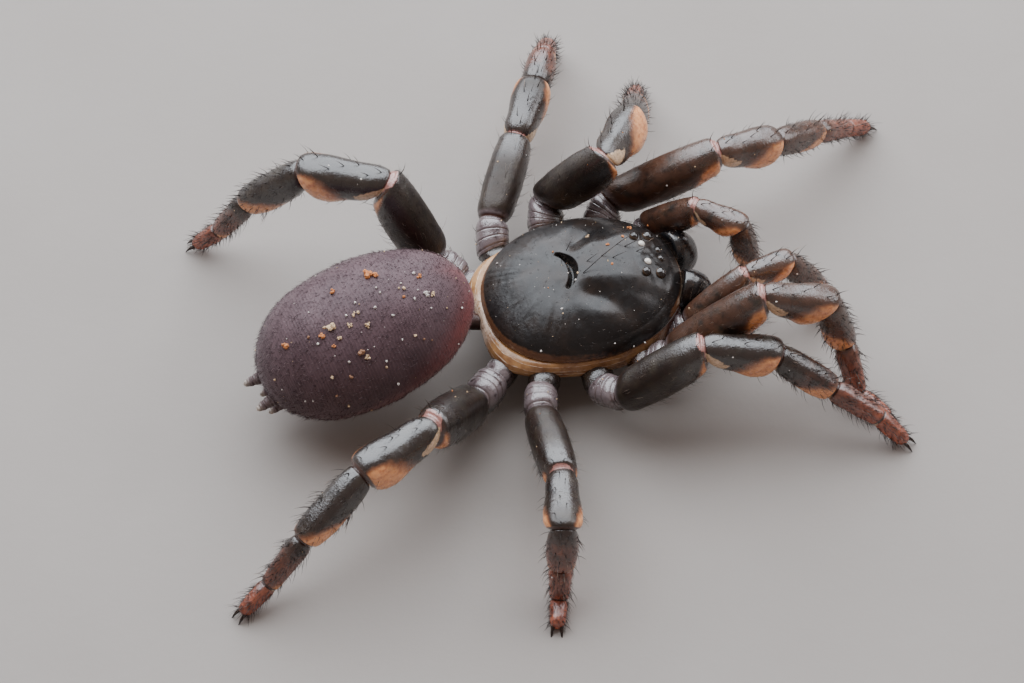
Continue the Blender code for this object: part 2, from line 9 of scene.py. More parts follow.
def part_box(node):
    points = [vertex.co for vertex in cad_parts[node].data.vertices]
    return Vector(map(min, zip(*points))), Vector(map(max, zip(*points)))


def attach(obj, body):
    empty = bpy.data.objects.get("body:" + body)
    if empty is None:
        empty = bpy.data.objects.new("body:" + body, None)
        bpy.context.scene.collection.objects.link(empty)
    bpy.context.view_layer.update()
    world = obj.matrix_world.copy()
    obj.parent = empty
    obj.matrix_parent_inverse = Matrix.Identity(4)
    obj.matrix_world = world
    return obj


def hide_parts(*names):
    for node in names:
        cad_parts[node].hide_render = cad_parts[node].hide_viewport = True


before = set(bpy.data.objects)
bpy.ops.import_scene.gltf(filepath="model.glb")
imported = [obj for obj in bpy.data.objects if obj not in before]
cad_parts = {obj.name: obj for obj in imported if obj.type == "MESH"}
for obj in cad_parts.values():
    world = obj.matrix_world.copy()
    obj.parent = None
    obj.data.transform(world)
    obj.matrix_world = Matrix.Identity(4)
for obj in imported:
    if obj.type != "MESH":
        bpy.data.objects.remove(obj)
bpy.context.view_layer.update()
MM = 0.001
RANDOM = np.random.default_rng(7)

# Body sizes, as in the solids
BODY_HEADING = 4.0
CARAPACE_LENGTH = 5.4
CARAPACE_WIDTH = 4.5
CARAPACE_UNDERSIDE = 1.8
CARAPACE_RIM = 1.95
CARAPACE_TOP = 3.2
HEAD_RISE_AT = 0.9
REAR_FALL = 0.38
FRONT_FALL = 0.25
DOME_POWERS = (2.7, 0.62)
FRONT_NARROWING = 0.14
FRONT_NARROWING_POWER = 1.3
FRONT_BLUNTNESS = 0.86
REAR_BLUNTNESS = 0.92
SIDE_BLUNTNESS = 0.88
CARAPACE_CORNERS = 28
STERNUM_LENGTH = 3.4
STERNUM_WIDTH = 2.3
STERNUM_SET_BACK = 0.2
STERNUM_BOTTOM = 0.6
COXA_HEIGHT = 1.15
COXA_WIDTH = 0.8
JOINT_GAP = 0.25
FOOT_HEIGHT = 0.17
STEEPEST_DROP = 0.98
DEPTH_TO_WIDTH = 1.12
LABIUM_SIZE = (0.38, 0.8, 0.5)
CHELICERA_CENTRE = (2.74, 0.67, 1.62)
CHELICERA_RADII = (0.68, 0.53, 0.86)
CHELICERA_PITCH = 14.0
ABDOMEN_LENGTH = 6.2
ABDOMEN_WIDTH = 4.1
ABDOMEN_HEIGHT = 3.9
ABDOMEN_CENTRE = (-6.02, -0.57, 2.5)
ABDOMEN_BEND = 12.0
ABDOMEN_DROOP = 12.0

# Segment lengths and widths from trochanter to tarsus, as in the solids; a palp has no metatarsus
SEGMENT_LENGTHS = {
    "leg_1": (0.78, 3.40, 1.80, 1.86, 1.52, 1.04),
    "leg_2": (0.80, 2.75, 1.97, 1.85, 1.55, 1.07),
    "leg_3": (0.88, 2.75, 1.84, 1.18, 1.15, 0.84),
    "leg_4": (0.96, 3.00, 2.23, 2.27, 1.67, 1.04),
    "palp": (0.62, 2.15, 1.20, 1.49, 1.36),
}
SEGMENT_WIDTHS = {
    "leg_1": (0.85, 1.02, 0.90, 0.70, 0.52, 0.43),
    "leg_2": (0.85, 1.06, 0.93, 0.72, 0.54, 0.45),
    "leg_3": (0.88, 1.00, 0.98, 0.80, 0.58, 0.46),
    "leg_4": (0.92, 1.12, 1.04, 0.80, 0.54, 0.44),
    "palp": (0.62, 0.72, 0.70, 0.60, 0.54),
}
COXA_END = {
    "palp": (2.02, 1.50),
    "leg_1": (1.15, 2.42),
    "leg_2": (-0.25, 2.70),
    "leg_3": (-1.82, 2.36),
    "leg_4": (-2.92, 1.67),
}
COXA_START = {"palp": 33, "leg_1": 62, "leg_2": 91, "leg_3": 120, "leg_4": 149}
LIMB_POSE = {
    ("leg_1", "right"): ((4, 34), (-10, 45), (-4, -20), (-12, -74), (-75, -54), (-50,)),
    ("leg_2", "right"): ((-54, 28), (-4, 37), (-10, -12), (-24, -35), (-27, -32), (-34,)),
    ("leg_3", "right"): ((-104, 12), (-90, 18), (-101, 9), (-109, -70), (-110, -74), (-106,)),
    ("leg_4", "right"): ((-134, 8), (-131, 37), (-154, -2), (-152, -29), (-160, -49), (-153,)),
    ("leg_1", "left"): ((51, 23), (-5, 30), (13, -16), (28, -29), (33, -38), (28,)),
    ("leg_2", "left"): ((74, 26), (-19, 55), (55, -17), (72, -41), (79, -45), (70,)),
    ("leg_3", "left"): ((80, 26), (64, 3), (62, 3), (66, -10), (71, -37), (70,)),
    ("leg_4", "left"): ((135, 27), (146, 62), (154, -6), (160, -45), (159, -61), (162,)),
    ("palp", "right"): ((0, 39), (8, 39), (14, -8), (5, -56), (-4,)),
    ("palp", "left"): ((50, 38), (-36, 46), (-38, -4), (-21, -78), (-12,)),
}
EYES = {
    "front_middle": (2.13, 0.14, 0.10),
    "front_side": (1.98, 0.62, 0.16),
    "rear_middle": (1.71, 0.30, 0.11),
    "rear_side": (1.60, 0.60, 0.13),
}

# Camera: the photo's view, with the width of the picture at the spider and the photo's size in pixels
VIEW_AZIMUTH = -12.0
VIEW_ELEVATION = 55.0
VIEW_DISTANCE = 150.0
VIEW_WIDTH = 27.7
AIM_RIGHT = -1.88
AIM_UP = -0.28
PHOTO_ACROSS = 1024
PHOTO_DOWN = 683

# Offset of each seed of the noise
SEED_STEP = 17.3
# Skins that reach the floor stop at this height, and hairs lower still
SKIN_LOWEST = 0.004
HAIR_LOWEST = 0.003


def view_axes():
    """Right, up and forward directions of the photo's view and the camera's place, in the body's frame."""
    turn = math.radians(VIEW_AZIMUTH)
    rise = math.radians(VIEW_ELEVATION)
    right = np.array((math.cos(turn), math.sin(turn), 0))
    level = np.array((-math.sin(turn), math.cos(turn), 0))
    up_axis = np.array((0, 0, 1))
    forward = level * math.cos(rise) - up_axis * math.sin(rise)
    up = level * math.sin(rise) + up_axis * math.cos(rise)
    return right, up, forward, right * AIM_RIGHT + up * AIM_UP - forward * VIEW_DISTANCE


def turned(heading, lift):
    """Unit direction at a heading round +Z and a lift above the horizontal, in degrees."""
    around = math.radians(heading)
    above = math.radians(lift)
    return np.array((math.cos(around) * math.cos(above), math.sin(around) * math.cos(above), math.sin(above)))


def unit(vector):
    return vector / np.linalg.norm(vector)


def body_point(ahead, left, height):
    """Points given along the body's own line, turned to the body's heading."""
    turn = math.radians(BODY_HEADING)
    ahead, left, height = np.broadcast_arrays(*(np.asarray(v, float) for v in (ahead, left, height)))
    across = ahead * math.cos(turn) - left * math.sin(turn)
    along = ahead * math.sin(turn) + left * math.cos(turn)
    return np.stack((across, along, height), -1)


def smooth_curve(pairs):
    """Function through (place, value) pairs, without corners."""
    places = np.array([p[0] for p in pairs], float)
    values = np.array([p[1] for p in pairs], float)
    slopes = np.gradient(values, places)

    def curve(at):
        at = np.clip(np.asarray(at, float), places[0], places[-1])
        index = np.clip(np.searchsorted(places, at, side="right") - 1, 0, len(places) - 2)
        width = places[index + 1] - places[index]
        share = (at - places[index]) / width
        rise = share * share * (3 - 2 * share)
        ease_out = share * (1 - share) ** 2 * width
        ease_in = share * share * (share - 1) * width
        straight = values[index] * (1 - rise) + values[index + 1] * rise
        return straight + slopes[index] * ease_out + slopes[index + 1] * ease_in

    return curve


def step_up(value, low, high):
    """0 below low, 1 above high, and smooth between them."""
    share = np.clip((np.asarray(value, float) - low) / (high - low), 0, 1)
    return share * share * (3 - 2 * share)


def noise_at(points, size, seed=0.0):
    """Smooth noise between -1 and 1 at points, with features of a size."""
    flat = np.asarray(points).reshape(-1, 3) / size + seed * SEED_STEP
    values = np.fromiter((noise.noise(Vector(p)) for p in flat), float, len(flat))
    return values.reshape(np.asarray(points).shape[:-1])


def lumps(points, *layers):
    """Sum of layers of noise, each given by its size, seed and depth."""
    return sum(noise_at(points, size, seed) * depth for size, seed, depth in layers)


def round_angles(columns):
    return np.linspace(0, 2 * math.pi, columns, endpoint=False)


def carapace_outline(angle, grow=0.0):
    """Plan points of the carapace's edge, blunt at both ends and narrower in front."""
    forward = np.cos(angle)
    across = np.sin(angle) * (1 - FRONT_NARROWING * np.maximum(0.0, forward) ** FRONT_NARROWING_POWER)
    blunt = np.where(forward > 0, FRONT_BLUNTNESS, REAR_BLUNTNESS)
    ahead = (CARAPACE_LENGTH / 2 + grow) * np.copysign(np.abs(forward) ** blunt, forward)
    left = (CARAPACE_WIDTH / 2 + grow) * np.copysign(np.abs(across) ** SIDE_BLUNTNESS, across)
    return ahead, left


def edge_distance(ahead, left):
    """How far from the middle the carapace's edge lies in the direction of a point."""
    return np.hypot(*carapace_outline(np.arctan2(left / (CARAPACE_WIDTH / 2), ahead / (CARAPACE_LENGTH / 2))))


def row_shift():
    """Offset from the body's own frame to the row's, read from where the carapace lies."""
    low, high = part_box("carapace")
    points = body_point(*carapace_outline(round_angles(CARAPACE_CORNERS)), 0.0)
    middle = (points.min(0) + points.max(0)) / 2
    return (np.array(low) + np.array(high)) / 2 / MM * (1, 1, 0) - middle * (1, 1, 0)


SHIFT = row_shift()


def mesh_piece(name, points, faces, material, attributes, smooth=True):
    """Object of the visual model, from points in the body's frame."""
    mesh = bpy.data.meshes.new(name)
    mesh.from_pydata(((np.asarray(points) + SHIFT) * MM).tolist(), [], faces)
    mesh.materials.append(material)
    for key, values in attributes.items():
        layer = mesh.attributes.new(key, "FLOAT", "POINT")
        layer.data.foreach_set("value", np.asarray(values, np.float32).ravel())
    mesh.validate()
    mesh.update()
    if smooth:
        mesh.shade_smooth()
    piece = bpy.data.objects.new(name, mesh)
    bpy.context.scene.collection.objects.link(piece)
    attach(piece, "root")
    return piece


def skin_faces(rows, columns, first=0):
    """Quads of a tube of rows of points, closed by a fan round the middle of each end row."""
    faces = []
    for row in range(rows - 1):
        for column in range(columns):
            after = (column + 1) % columns
            a = first + row * columns
            b = a + columns
            faces.append((a + column, a + after, b + after, b + column))
    start = first + rows * columns
    end = start + 1
    last = first + (rows - 1) * columns
    for column in range(columns):
        after = (column + 1) % columns
        faces.append((first + after, first + column, start))
        faces.append((last + column, last + after, end))
    return faces


def closed(rings):
    """The points of rings, followed by the middle of the first and of the last ring."""
    return np.concatenate((rings.reshape(-1, 3), rings[0].mean(0)[None], rings[-1].mean(0)[None]))


def tube_piece(name, rings, material, marks=None):
    """Closed skin through rings of points; marks are attributes with a value for each ring point."""
    rows, columns = rings.shape[:2]
    attributes = {}
    for key, values in (marks or {}).items():
        values = np.broadcast_to(values, (rows, columns))
        attributes[key] = np.concatenate((values.ravel(), [values[0].mean(), values[-1].mean()]))
    return mesh_piece(name, closed(rings), skin_faces(rows, columns), material, attributes)


# Materials

class Recipe:
    """Node tree of one material, with short ways to add linked nodes."""

    def __init__(self, name):
        self.material = bpy.data.materials.new(name)
        self.material.use_nodes = True
        self.tree = self.material.node_tree
        self.place = self.tree.nodes.new("ShaderNodeTexCoord").outputs["Object"]

    def feed(self, socket, value):
        """Link a socket, or set it to a number or colour."""
        if isinstance(value, bpy.types.NodeSocket):
            self.tree.links.new(value, socket)
        elif isinstance(value, tuple):
            socket.default_value = (*value, 1)
        else:
            socket.default_value = value

    def attribute(self, key):
        node = self.tree.nodes.new("ShaderNodeAttribute")
        node.attribute_name = key
        return node.outputs["Fac"]

    def noise(self, size, detail=4.0, roughness=0.55):
        """Noise whose features have a size in millimetres."""
        node = self.tree.nodes.new("ShaderNodeTexNoise")
        self.tree.links.new(self.place, node.inputs["Vector"])
        node.inputs["Scale"].default_value = 1 / (size * MM)
        node.inputs["Detail"].default_value = detail
        node.inputs["Roughness"].default_value = roughness
        return node.outputs["Fac"]

    def cells(self, size):
        node = self.tree.nodes.new("ShaderNodeTexVoronoi")
        self.tree.links.new(self.place, node.inputs["Vector"])
        node.inputs["Scale"].default_value = 1 / (size * MM)
        return node.outputs["Distance"]

    def calc(self, operation, first, second=0.0, clamp=False):
        node = self.tree.nodes.new("ShaderNodeMath")
        node.operation = operation
        node.use_clamp = clamp
        self.feed(node.inputs[0], first)
        self.feed(node.inputs[1], second)
        return node.outputs["Value"]

    def times(self, first, second):
        return self.calc("MULTIPLY", first, second)

    def rise(self, value, low, high, start=0.0, end=1.0):
        """Value mapped smoothly from one range to another."""
        node = self.tree.nodes.new("ShaderNodeMapRange")
        node.interpolation_type = "SMOOTHSTEP"
        self.feed(node.inputs["Value"], value)
        node.inputs["From Min"].default_value = low
        node.inputs["From Max"].default_value = high
        node.inputs["To Min"].default_value = start
        node.inputs["To Max"].default_value = end
        return node.outputs["Result"]

    def patches(self, size, low, high, start=0.0, end=1.0, detail=4.0):
        """Noise of a size, mapped smoothly from one range to another."""
        return self.rise(self.noise(size, detail), low, high, start, end)

    def ragged(self, mask, texture, amount, clamp=False):
        """Mask whose edge is moved by a texture."""
        return self.calc("ADD", mask, self.times(self.calc("SUBTRACT", texture, 0.5), amount), clamp)

    def mix(self, factor, first, second):
        node = self.tree.nodes.new("ShaderNodeMix")
        node.data_type = "RGBA"
        self.feed(node.inputs[0], factor)
        self.feed(node.inputs[6], first)
        self.feed(node.inputs[7], second)
        return node.outputs[2]

    def bump(self, height, depth, under=None):
        """Bump from a height between 0 and 1 that stands for a depth in millimetres."""
        node = self.tree.nodes.new("ShaderNodeBump")
        node.inputs["Distance"].default_value = depth * MM
        self.feed(node.inputs["Height"], height)
        if under is not None:
            self.feed(node.inputs["Normal"], under)
        return node.outputs["Normal"]

    def finish(self, colour, roughness, normal, shine=0.5, **settings):
        """The finished material; settings are named like the shader's other sockets."""
        sockets = self.tree.nodes["Principled BSDF"].inputs
        self.feed(sockets["Base Color"], colour)
        self.feed(sockets["Roughness"], roughness)
        self.feed(sockets["Normal"], normal)
        sockets["Specular IOR Level"].default_value = shine
        for key, value in settings.items():
            self.feed(sockets[key.replace("_", " ").title()], value)
        return self.material


WHITE = (1.0, 1.0, 1.0)
SHELL_BLACK = (0.010, 0.0085, 0.008)
SHELL_OLIVE = (0.022, 0.019, 0.014)
SHELL_BROWN = (0.105, 0.044, 0.025)
FOOT_RED = (0.66, 0.17, 0.085)
FOOT_DARK = (0.40, 0.085, 0.045)
# Amber of the swellings: the shell's own amber, painted brighter to stand for light glowing through it
AMBER_AND_GLOW = (0.84, 0.37, 0.145)
AMBER_DARK = (0.54, 0.18, 0.062)
AMBER_EDGE = (0.20, 0.075, 0.034)
UNDER_BROWN = (0.055, 0.034, 0.022)
JOINT_BROWN = (0.050, 0.020, 0.014)
PINK_SKIN = (0.36, 0.165, 0.14)
CREAM_SKIN = (0.66, 0.46, 0.29)
# Pale hip skin, used on the upper side only: partly the skin's own pale tone, partly painted highlight
BAND_PALE_AND_HIGHLIGHT = (0.150, 0.118, 0.122)
BAND_DARK = (0.040, 0.027, 0.030)
DULL_SHINE = (0.26, 0.24, 0.22)
CARAPACE_BLACK = (0.008, 0.007, 0.007)
CARAPACE_BROWN = (0.020, 0.013, 0.010)
RIM_BROWN = (0.120, 0.052, 0.024)
# Cream of the carapace's rim: partly the shell's own pale rim, partly a painted highlight line along its edge
RIM_CREAM_AND_HIGHLIGHT = (0.46, 0.34, 0.25)
PIT_DUST = (0.36, 0.28, 0.21)
JAW_BLACK = (0.004, 0.004, 0.005)
JAW_BROWN = (0.02, 0.009, 0.006)
JAW_SPECK = (0.32, 0.27, 0.22)
FLANK_AMBER = (0.42, 0.225, 0.095)
FLANK_BROWN = (0.20, 0.088, 0.038)
FLANK_FRONT = (0.055, 0.018, 0.013)
FLANK_REAR = (0.76, 0.58, 0.45)
# Pale colour of the flank's raised creases: partly pale skin, partly painted highlight
FLANK_CREASE_AND_HIGHLIGHT = (0.70, 0.55, 0.42)
PLATE_RED = (0.075, 0.028, 0.018)
PLATE_BROWN = (0.028, 0.012, 0.010)
ABDOMEN_DARK = (0.064, 0.037, 0.044)
ABDOMEN_PURPLE = (0.094, 0.057, 0.066)
ABDOMEN_MAROON = (0.205, 0.052, 0.050)
LUNG_BROWN = (0.30, 0.17, 0.07)
FOLD_PALE = (0.17, 0.105, 0.11)
SPINNERET_GREY = (0.12, 0.085, 0.085)
SPINNERET_TIP = (0.44, 0.38, 0.33)
SPINNERET_STAIN = (0.03, 0.014, 0.012)
CLAW_BLACK = (0.004, 0.0035, 0.0035)
CLAW_BROWN = (0.028, 0.010, 0.006)
PEARL = (0.62, 0.58, 0.52)
PEARL_RIM = (0.06, 0.035, 0.02)
DARK_LENS = (0.010, 0.008, 0.008)
DARK_LENS_RIM = (0.05, 0.028, 0.014)
BRISTLE_ROOT = (0.012, 0.008, 0.007)
BRISTLE_TIP = (0.030, 0.014, 0.009)
BRISTLE_TAN = (0.34, 0.25, 0.19)
VELVET_ROOT = (0.034, 0.017, 0.020)
VELVET_TIP = (0.112, 0.069, 0.081)
VELVET_PALE = (0.40, 0.31, 0.31)
VELVET_MAROON = (0.150, 0.055, 0.057)
SOIL_ORANGE = (0.52, 0.19, 0.06)
SOIL_CREAM = (0.56, 0.40, 0.24)
SOIL_WHITE = (0.66, 0.62, 0.58)
SOIL_BROWN = (0.26, 0.13, 0.07)
SOIL_STAIN = (0.24, 0.12, 0.06)
FLOOR_DARK = (0.25, 0.225, 0.205)
FLOOR_PALE = (0.29, 0.265, 0.245)

# Radians of fold along the whole abdomen, about one fold for each 0.06 mm, and how far the folds wander
FOLD_TURNS = 640.0
FOLD_WANDER = 11.0
SPINNERET_RING_TURNS = 40.0


def darker(colour, share):
    return tuple(channel * share for channel in colour)


def limb_material():
    """Black shell with amber swellings below, red feet, pale hips with a painted highlight on top, and pink
    and cream skin at the joints.
    """
    r = Recipe("limb_shell")
    mottle = r.noise(0.35, 5)
    colour = r.mix(r.rise(mottle, 0.42, 0.72), SHELL_BLACK, SHELL_OLIVE)
    colour = r.mix(r.times(r.attribute("warm"), r.patches(0.3, 0.2, 0.6)), colour, SHELL_BROWN)
    colour = r.mix(r.attribute("under"), colour, UNDER_BROWN)
    red = r.attribute("red")
    ragged = r.times(r.ragged(red, mottle, 0.6, clamp=True), r.rise(red, 0.0, 0.12))
    colour = r.mix(ragged, colour, r.mix(r.patches(0.14, 0.35, 0.65), FOOT_RED, FOOT_DARK))
    amber = r.attribute("amber")
    spread = r.times(r.ragged(amber, r.noise(0.2), 0.5), r.rise(amber, 0.0, 0.1))
    colour = r.mix(r.rise(spread, 0.05, 0.45), colour, AMBER_EDGE)
    # Amber swellings, painted bright to stand for light shining through the shell
    colour = r.mix(r.rise(spread, 0.30, 0.85), colour, r.mix(r.patches(0.12, 0.4, 0.7), AMBER_AND_GLOW, AMBER_DARK))
    band = r.attribute("band")
    # Pale hip band on the upper side: painted highlight over the skin's own pale tone
    pale = r.mix(r.patches(0.24, 0.30, 0.48), BAND_DARK, BAND_PALE_AND_HIGHLIGHT)
    colour = r.mix(r.times(band, r.rise(mottle, 0.2, 0.42)), colour, pale)
    colour = r.mix(r.attribute("seam"), colour, JOINT_BROWN)
    for key, shade in (("pink", PINK_SKIN), ("cream", CREAM_SKIN)):
        mask = r.attribute(key)
        torn = r.times(r.rise(r.ragged(mask, r.noise(0.13), 1.6), 0.25, 0.75), r.rise(mask, 0.0, 0.2))
        colour = r.mix(torn, colour, r.mix(r.patches(0.06, 0.45, 0.7, detail=3), shade, darker(shade, 0.6)))
    fine = r.bump(r.cells(0.045), 0.0040, r.bump(r.noise(0.05, 5, 0.6), 0.0040))
    normal = r.bump(r.noise(0.16, 5, 0.6), 0.013, fine)
    dull = r.attribute("dull")
    duller = r.calc("SUBTRACT", r.times(dull, 0.10), r.times(band, 0.07))
    rough = r.calc("ADD", r.patches(0.25, 0.3, 0.7, 0.20, 0.30), duller)
    tint = r.mix(dull, WHITE, DULL_SHINE)
    return r.finish(colour, rough, normal, 1.0, coat_weight=0.12, coat_roughness=0.24, specular_tint=tint)


def carapace_material():
    """Black polished shell, leathery towards its rear and sides, with a brown and cream rim, the cream line
    partly a painted highlight along the edge.
    """
    r = Recipe("carapace_shell")
    colour = r.mix(r.patches(0.6, 0.40, 0.72, detail=5), CARAPACE_BLACK, CARAPACE_BROWN)
    rim = r.attribute("rim")
    edge = r.times(r.ragged(rim, r.noise(0.12), 0.5), r.rise(rim, 0.0, 0.1))
    colour = r.mix(r.rise(edge, 0.18, 0.50), colour, RIM_BROWN)
    # Cream line at the very edge: partly the real pale rim, partly painted highlight
    colour = r.mix(r.rise(edge, 0.62, 0.90), colour, RIM_CREAM_AND_HIGHLIGHT)
    dust = r.times(r.attribute("pit"), r.patches(0.045, 0.60, 0.70, detail=3))
    colour = r.mix(dust, colour, PIT_DUST)
    leather = r.attribute("leather")
    fine = r.bump(r.noise(0.05, 5, 0.6), 0.0016)
    normal = r.bump(r.times(r.noise(0.15, 5, 0.6), leather), 0.016, fine)
    normal = r.bump(r.noise(0.5, 3), 0.010, normal)
    rough = r.calc("ADD", r.patches(0.2, 0.3, 0.7, 0.24, 0.36, 5), r.times(leather, 0.06))
    return r.finish(colour, rough, normal, 0.42)


def jaw_material():
    """Glossy black shell with a few pale specks."""
    r = Recipe("jaw_shell")
    colour = r.mix(r.patches(0.3, 0.5, 0.8), JAW_BLACK, JAW_BROWN)
    specks = r.calc("LESS_THAN", r.cells(0.16), 0.16)
    colour = r.mix(r.times(specks, r.patches(0.5, 0.55, 0.7, detail=2)), colour, JAW_SPECK)
    normal = r.bump(r.noise(0.06), 0.006, r.bump(r.noise(0.25), 0.02))
    return r.finish(colour, r.patches(0.2, 0.3, 0.7, 0.18, 0.30), normal, 1.0)


def membrane_material():
    """Glossy amber skin of the body's flank, with pale creases that are partly painted highlight along their
    raised lines, creamy at the rear and dark red in front.
    """
    r = Recipe("flank_skin")
    colour = r.mix(r.patches(0.4, 0.35, 0.7), FLANK_AMBER, FLANK_BROWN)
    colour = r.mix(r.attribute("front"), colour, FLANK_FRONT)
    colour = r.mix(r.times(r.attribute("rear"), r.patches(0.15, 0.3, 0.55)), colour, FLANK_REAR)
    # Pale creases: partly the skin's own folds, partly painted highlight along their ridges
    crease = r.times(r.rise(r.attribute("crease"), 0.3, 0.9), r.patches(0.16, 0.34, 0.60))
    colour = r.mix(crease, colour, FLANK_CREASE_AND_HIGHLIGHT)
    normal = r.bump(r.noise(0.25), 0.012, r.bump(r.noise(0.06), 0.0025))
    return r.finish(colour, r.patches(0.2, 0.3, 0.7, 0.15, 0.28), normal)


def plate_material():
    """Reddish-brown plates under the body: breastplate, lip and waist."""
    r = Recipe("under_plate")
    colour = r.mix(r.patches(0.5, 0.35, 0.7, detail=5), PLATE_RED, PLATE_BROWN)
    normal = r.bump(r.noise(0.05, 5), 0.008, r.bump(r.cells(0.14), 0.014))
    return r.finish(colour, r.patches(0.25, 0.3, 0.7, 0.28, 0.45), normal)


def abdomen_material():
    """Dark purple skin with fine cross folds, maroon towards the front and underneath."""
    r = Recipe("velvet_skin")
    colour = r.mix(r.rise(r.noise(0.7, 5, 0.6), 0.35, 0.68), ABDOMEN_DARK, ABDOMEN_PURPLE)
    warm = r.times(r.attribute("warm"), r.patches(0.5, 0.1, 0.6, 0.5, 1.0))
    colour = r.mix(warm, colour, ABDOMEN_MAROON)
    colour = r.mix(r.times(r.attribute("lung"), 0.8), colour, LUNG_BROWN)
    wander = r.times(r.noise(0.6, 3), FOLD_WANDER)
    fold = r.calc("SINE", r.calc("ADD", r.times(r.attribute("fold"), FOLD_TURNS), wander))
    fold = r.times(r.calc("ADD", fold, 1.0), 0.5)
    colour = r.mix(r.times(r.rise(fold, 0.5, 1.0), 0.18), colour, FOLD_PALE)
    normal = r.bump(fold, 0.0028, r.bump(r.noise(0.05, 5), 0.007, r.bump(r.noise(0.6), 0.014)))
    return r.finish(colour, r.patches(0.15, 0.3, 0.7, 0.42, 0.58), normal, 0.22, sheen_weight=0.10)


def spinneret_material():
    """Grey ringed skin with dark stains, pale at the tip."""
    r = Recipe("spinneret_skin")
    colour = r.mix(r.attribute("tip"), SPINNERET_GREY, SPINNERET_TIP)
    rings = r.calc("SINE", r.times(r.attribute("fold"), SPINNERET_RING_TURNS))
    normal = r.bump(rings, 0.01, r.bump(r.noise(0.06), 0.012))
    return r.finish(r.mix(r.patches(0.1, 0.4, 0.7, 0.0, 0.5), colour, SPINNERET_STAIN), 0.45, normal)


def claw_material():
    """Black horn of claws and fangs."""
    r = Recipe("claw_shell")
    colour = r.mix(r.noise(0.1, 3), CLAW_BLACK, CLAW_BROWN)
    return r.finish(colour, r.patches(0.06, 0.3, 0.7, 0.15, 0.3, 3), r.bump(r.noise(0.05), 0.004))


def eye_material(name, colour, rim):
    """Domed lens, with another colour at its rim."""
    r = Recipe(name)
    shade = r.mix(r.patches(0.07, 0.35, 0.7, detail=3), colour, darker(colour, 0.72))
    shade = r.mix(r.attribute("edge"), shade, rim)
    return r.finish(shade, 0.06, r.bump(r.noise(0.15, 2), 0.002), coat_weight=0.6)


def bristle_material(name, root, tip, pale, share, shine=0.5, warm_tip=None):
    """Hair colour from root to tip; a share of the hairs, by their own number, has pale tips."""
    r = Recipe(name)
    reach, own = r.attribute("reach"), r.attribute("own")
    colour = r.mix(reach, root, tip)
    if warm_tip is not None:
        colour = r.mix(r.attribute("warm"), colour, r.mix(reach, root, warm_tip))
    light = r.times(r.calc("LESS_THAN", own, share), r.rise(reach, 0.25, 0.9))
    rough = r.rise(own, 0.0, 1.0, 0.32, 0.5)
    return r.finish(r.mix(light, colour, pale), rough, r.bump(r.noise(0.03, 2), 0.001), shine)


def speck_material():
    """Grains of soil: orange, cream, white or brown by their own number, with darker stains."""
    r = Recipe("dust_crumb")
    own = r.attribute("own")
    colour = SOIL_ORANGE
    for number, shade in ((0.25, SOIL_CREAM), (0.5, SOIL_WHITE), (0.75, SOIL_BROWN)):
        colour = r.mix(r.calc("GREATER_THAN", own, number), colour, shade)
    colour = r.mix(r.patches(0.04, 0.5, 0.75, 0.0, 0.6), colour, SOIL_STAIN)
    return r.finish(colour, 0.7, r.bump(r.noise(0.03), 0.01))


def floor_material():
    r = Recipe("studio_floor")
    return r.finish(r.mix(r.noise(6.0, 3), FLOOR_DARK, FLOOR_PALE), 0.7, r.bump(r.noise(0.5, 3), 0.01))


# Limbs

HIP_PROFILE = ((0.0, 0.60), (0.12, 0.68), (0.65, 1.0), (0.88, 1.0), (1.0, 0.88))
TROCHANTER_PROFILE = ((0.0, 0.86), (0.12, 0.98), (0.5, 1.02), (0.85, 0.95), (1.0, 0.74))
FEMUR_PROFILE = ((0.0, 0.66), (0.07, 0.86), (0.28, 1.0), (0.6, 1.03), (0.86, 0.95), (0.96, 0.85), (1.0, 0.70))
PATELLA_PROFILE = ((0.0, 0.66), (0.08, 0.80), (0.4, 0.92), (0.75, 1.06), (0.94, 0.96), (1.0, 0.80))
TIBIA_PROFILE = ((0.0, 0.84), (0.1, 0.95), (0.5, 1.04), (0.85, 0.97), (0.96, 0.86), (1.0, 0.72))
METATARSUS_PROFILE = ((0.0, 0.80), (0.08, 0.99), (0.45, 1.02), (0.85, 0.93), (1.0, 0.84))
TARSUS_PROFILE = ((0.0, 0.92), (0.12, 1.0), (0.5, 0.97), (0.8, 0.85), (0.93, 0.68), (0.98, 0.48), (1.0, 0.2))
PALP_TIP_PROFILE = (
    (0.0, 0.86), (0.12, 1.0), (0.5, 1.06), (0.8, 0.95), (0.94, 0.70), (0.985, 0.42), (1.0, 0.18),
)

# Part names in order, with the profile and the swelling of the underside of each
LEG_PARTS = (
    ("coxa", HIP_PROFILE, 0.0),
    ("trochanter", TROCHANTER_PROFILE, 0.0),
    ("femur", FEMUR_PROFILE, 0.1),
    ("patella", PATELLA_PROFILE, 0.30),
    ("tibia", TIBIA_PROFILE, 0.14),
    ("metatarsus", METATARSUS_PROFILE, 0.0),
    ("tarsus", TARSUS_PROFILE, 0.0),
)
PALP_PARTS = (
    ("coxa", HIP_PROFILE, 0.0),
    ("trochanter", TROCHANTER_PROFILE, 0.0),
    ("femur", FEMUR_PROFILE, 0.06),
    ("patella", PATELLA_PROFILE, 0.06),
    ("tibia", TIBIA_PROFILE, 0.06),
    ("tarsus", PALP_TIP_PROFILE, 0.0),
)

# How red each kind of limb is at the start of its tibia, metatarsus and tarsus, and at its tip
LIMB_RED = {
    "leg_1": (0.0, 0.15, 0.65, 0.95),
    "leg_2": (0.0, 0.22, 0.75, 1.0),
    "leg_3": (0.0, 0.45, 0.80, 1.0),
    "leg_4": (0.0, 0.04, 0.45, 1.0),
    "palp": (0.0, 0.15, 0.55, 0.85),
}

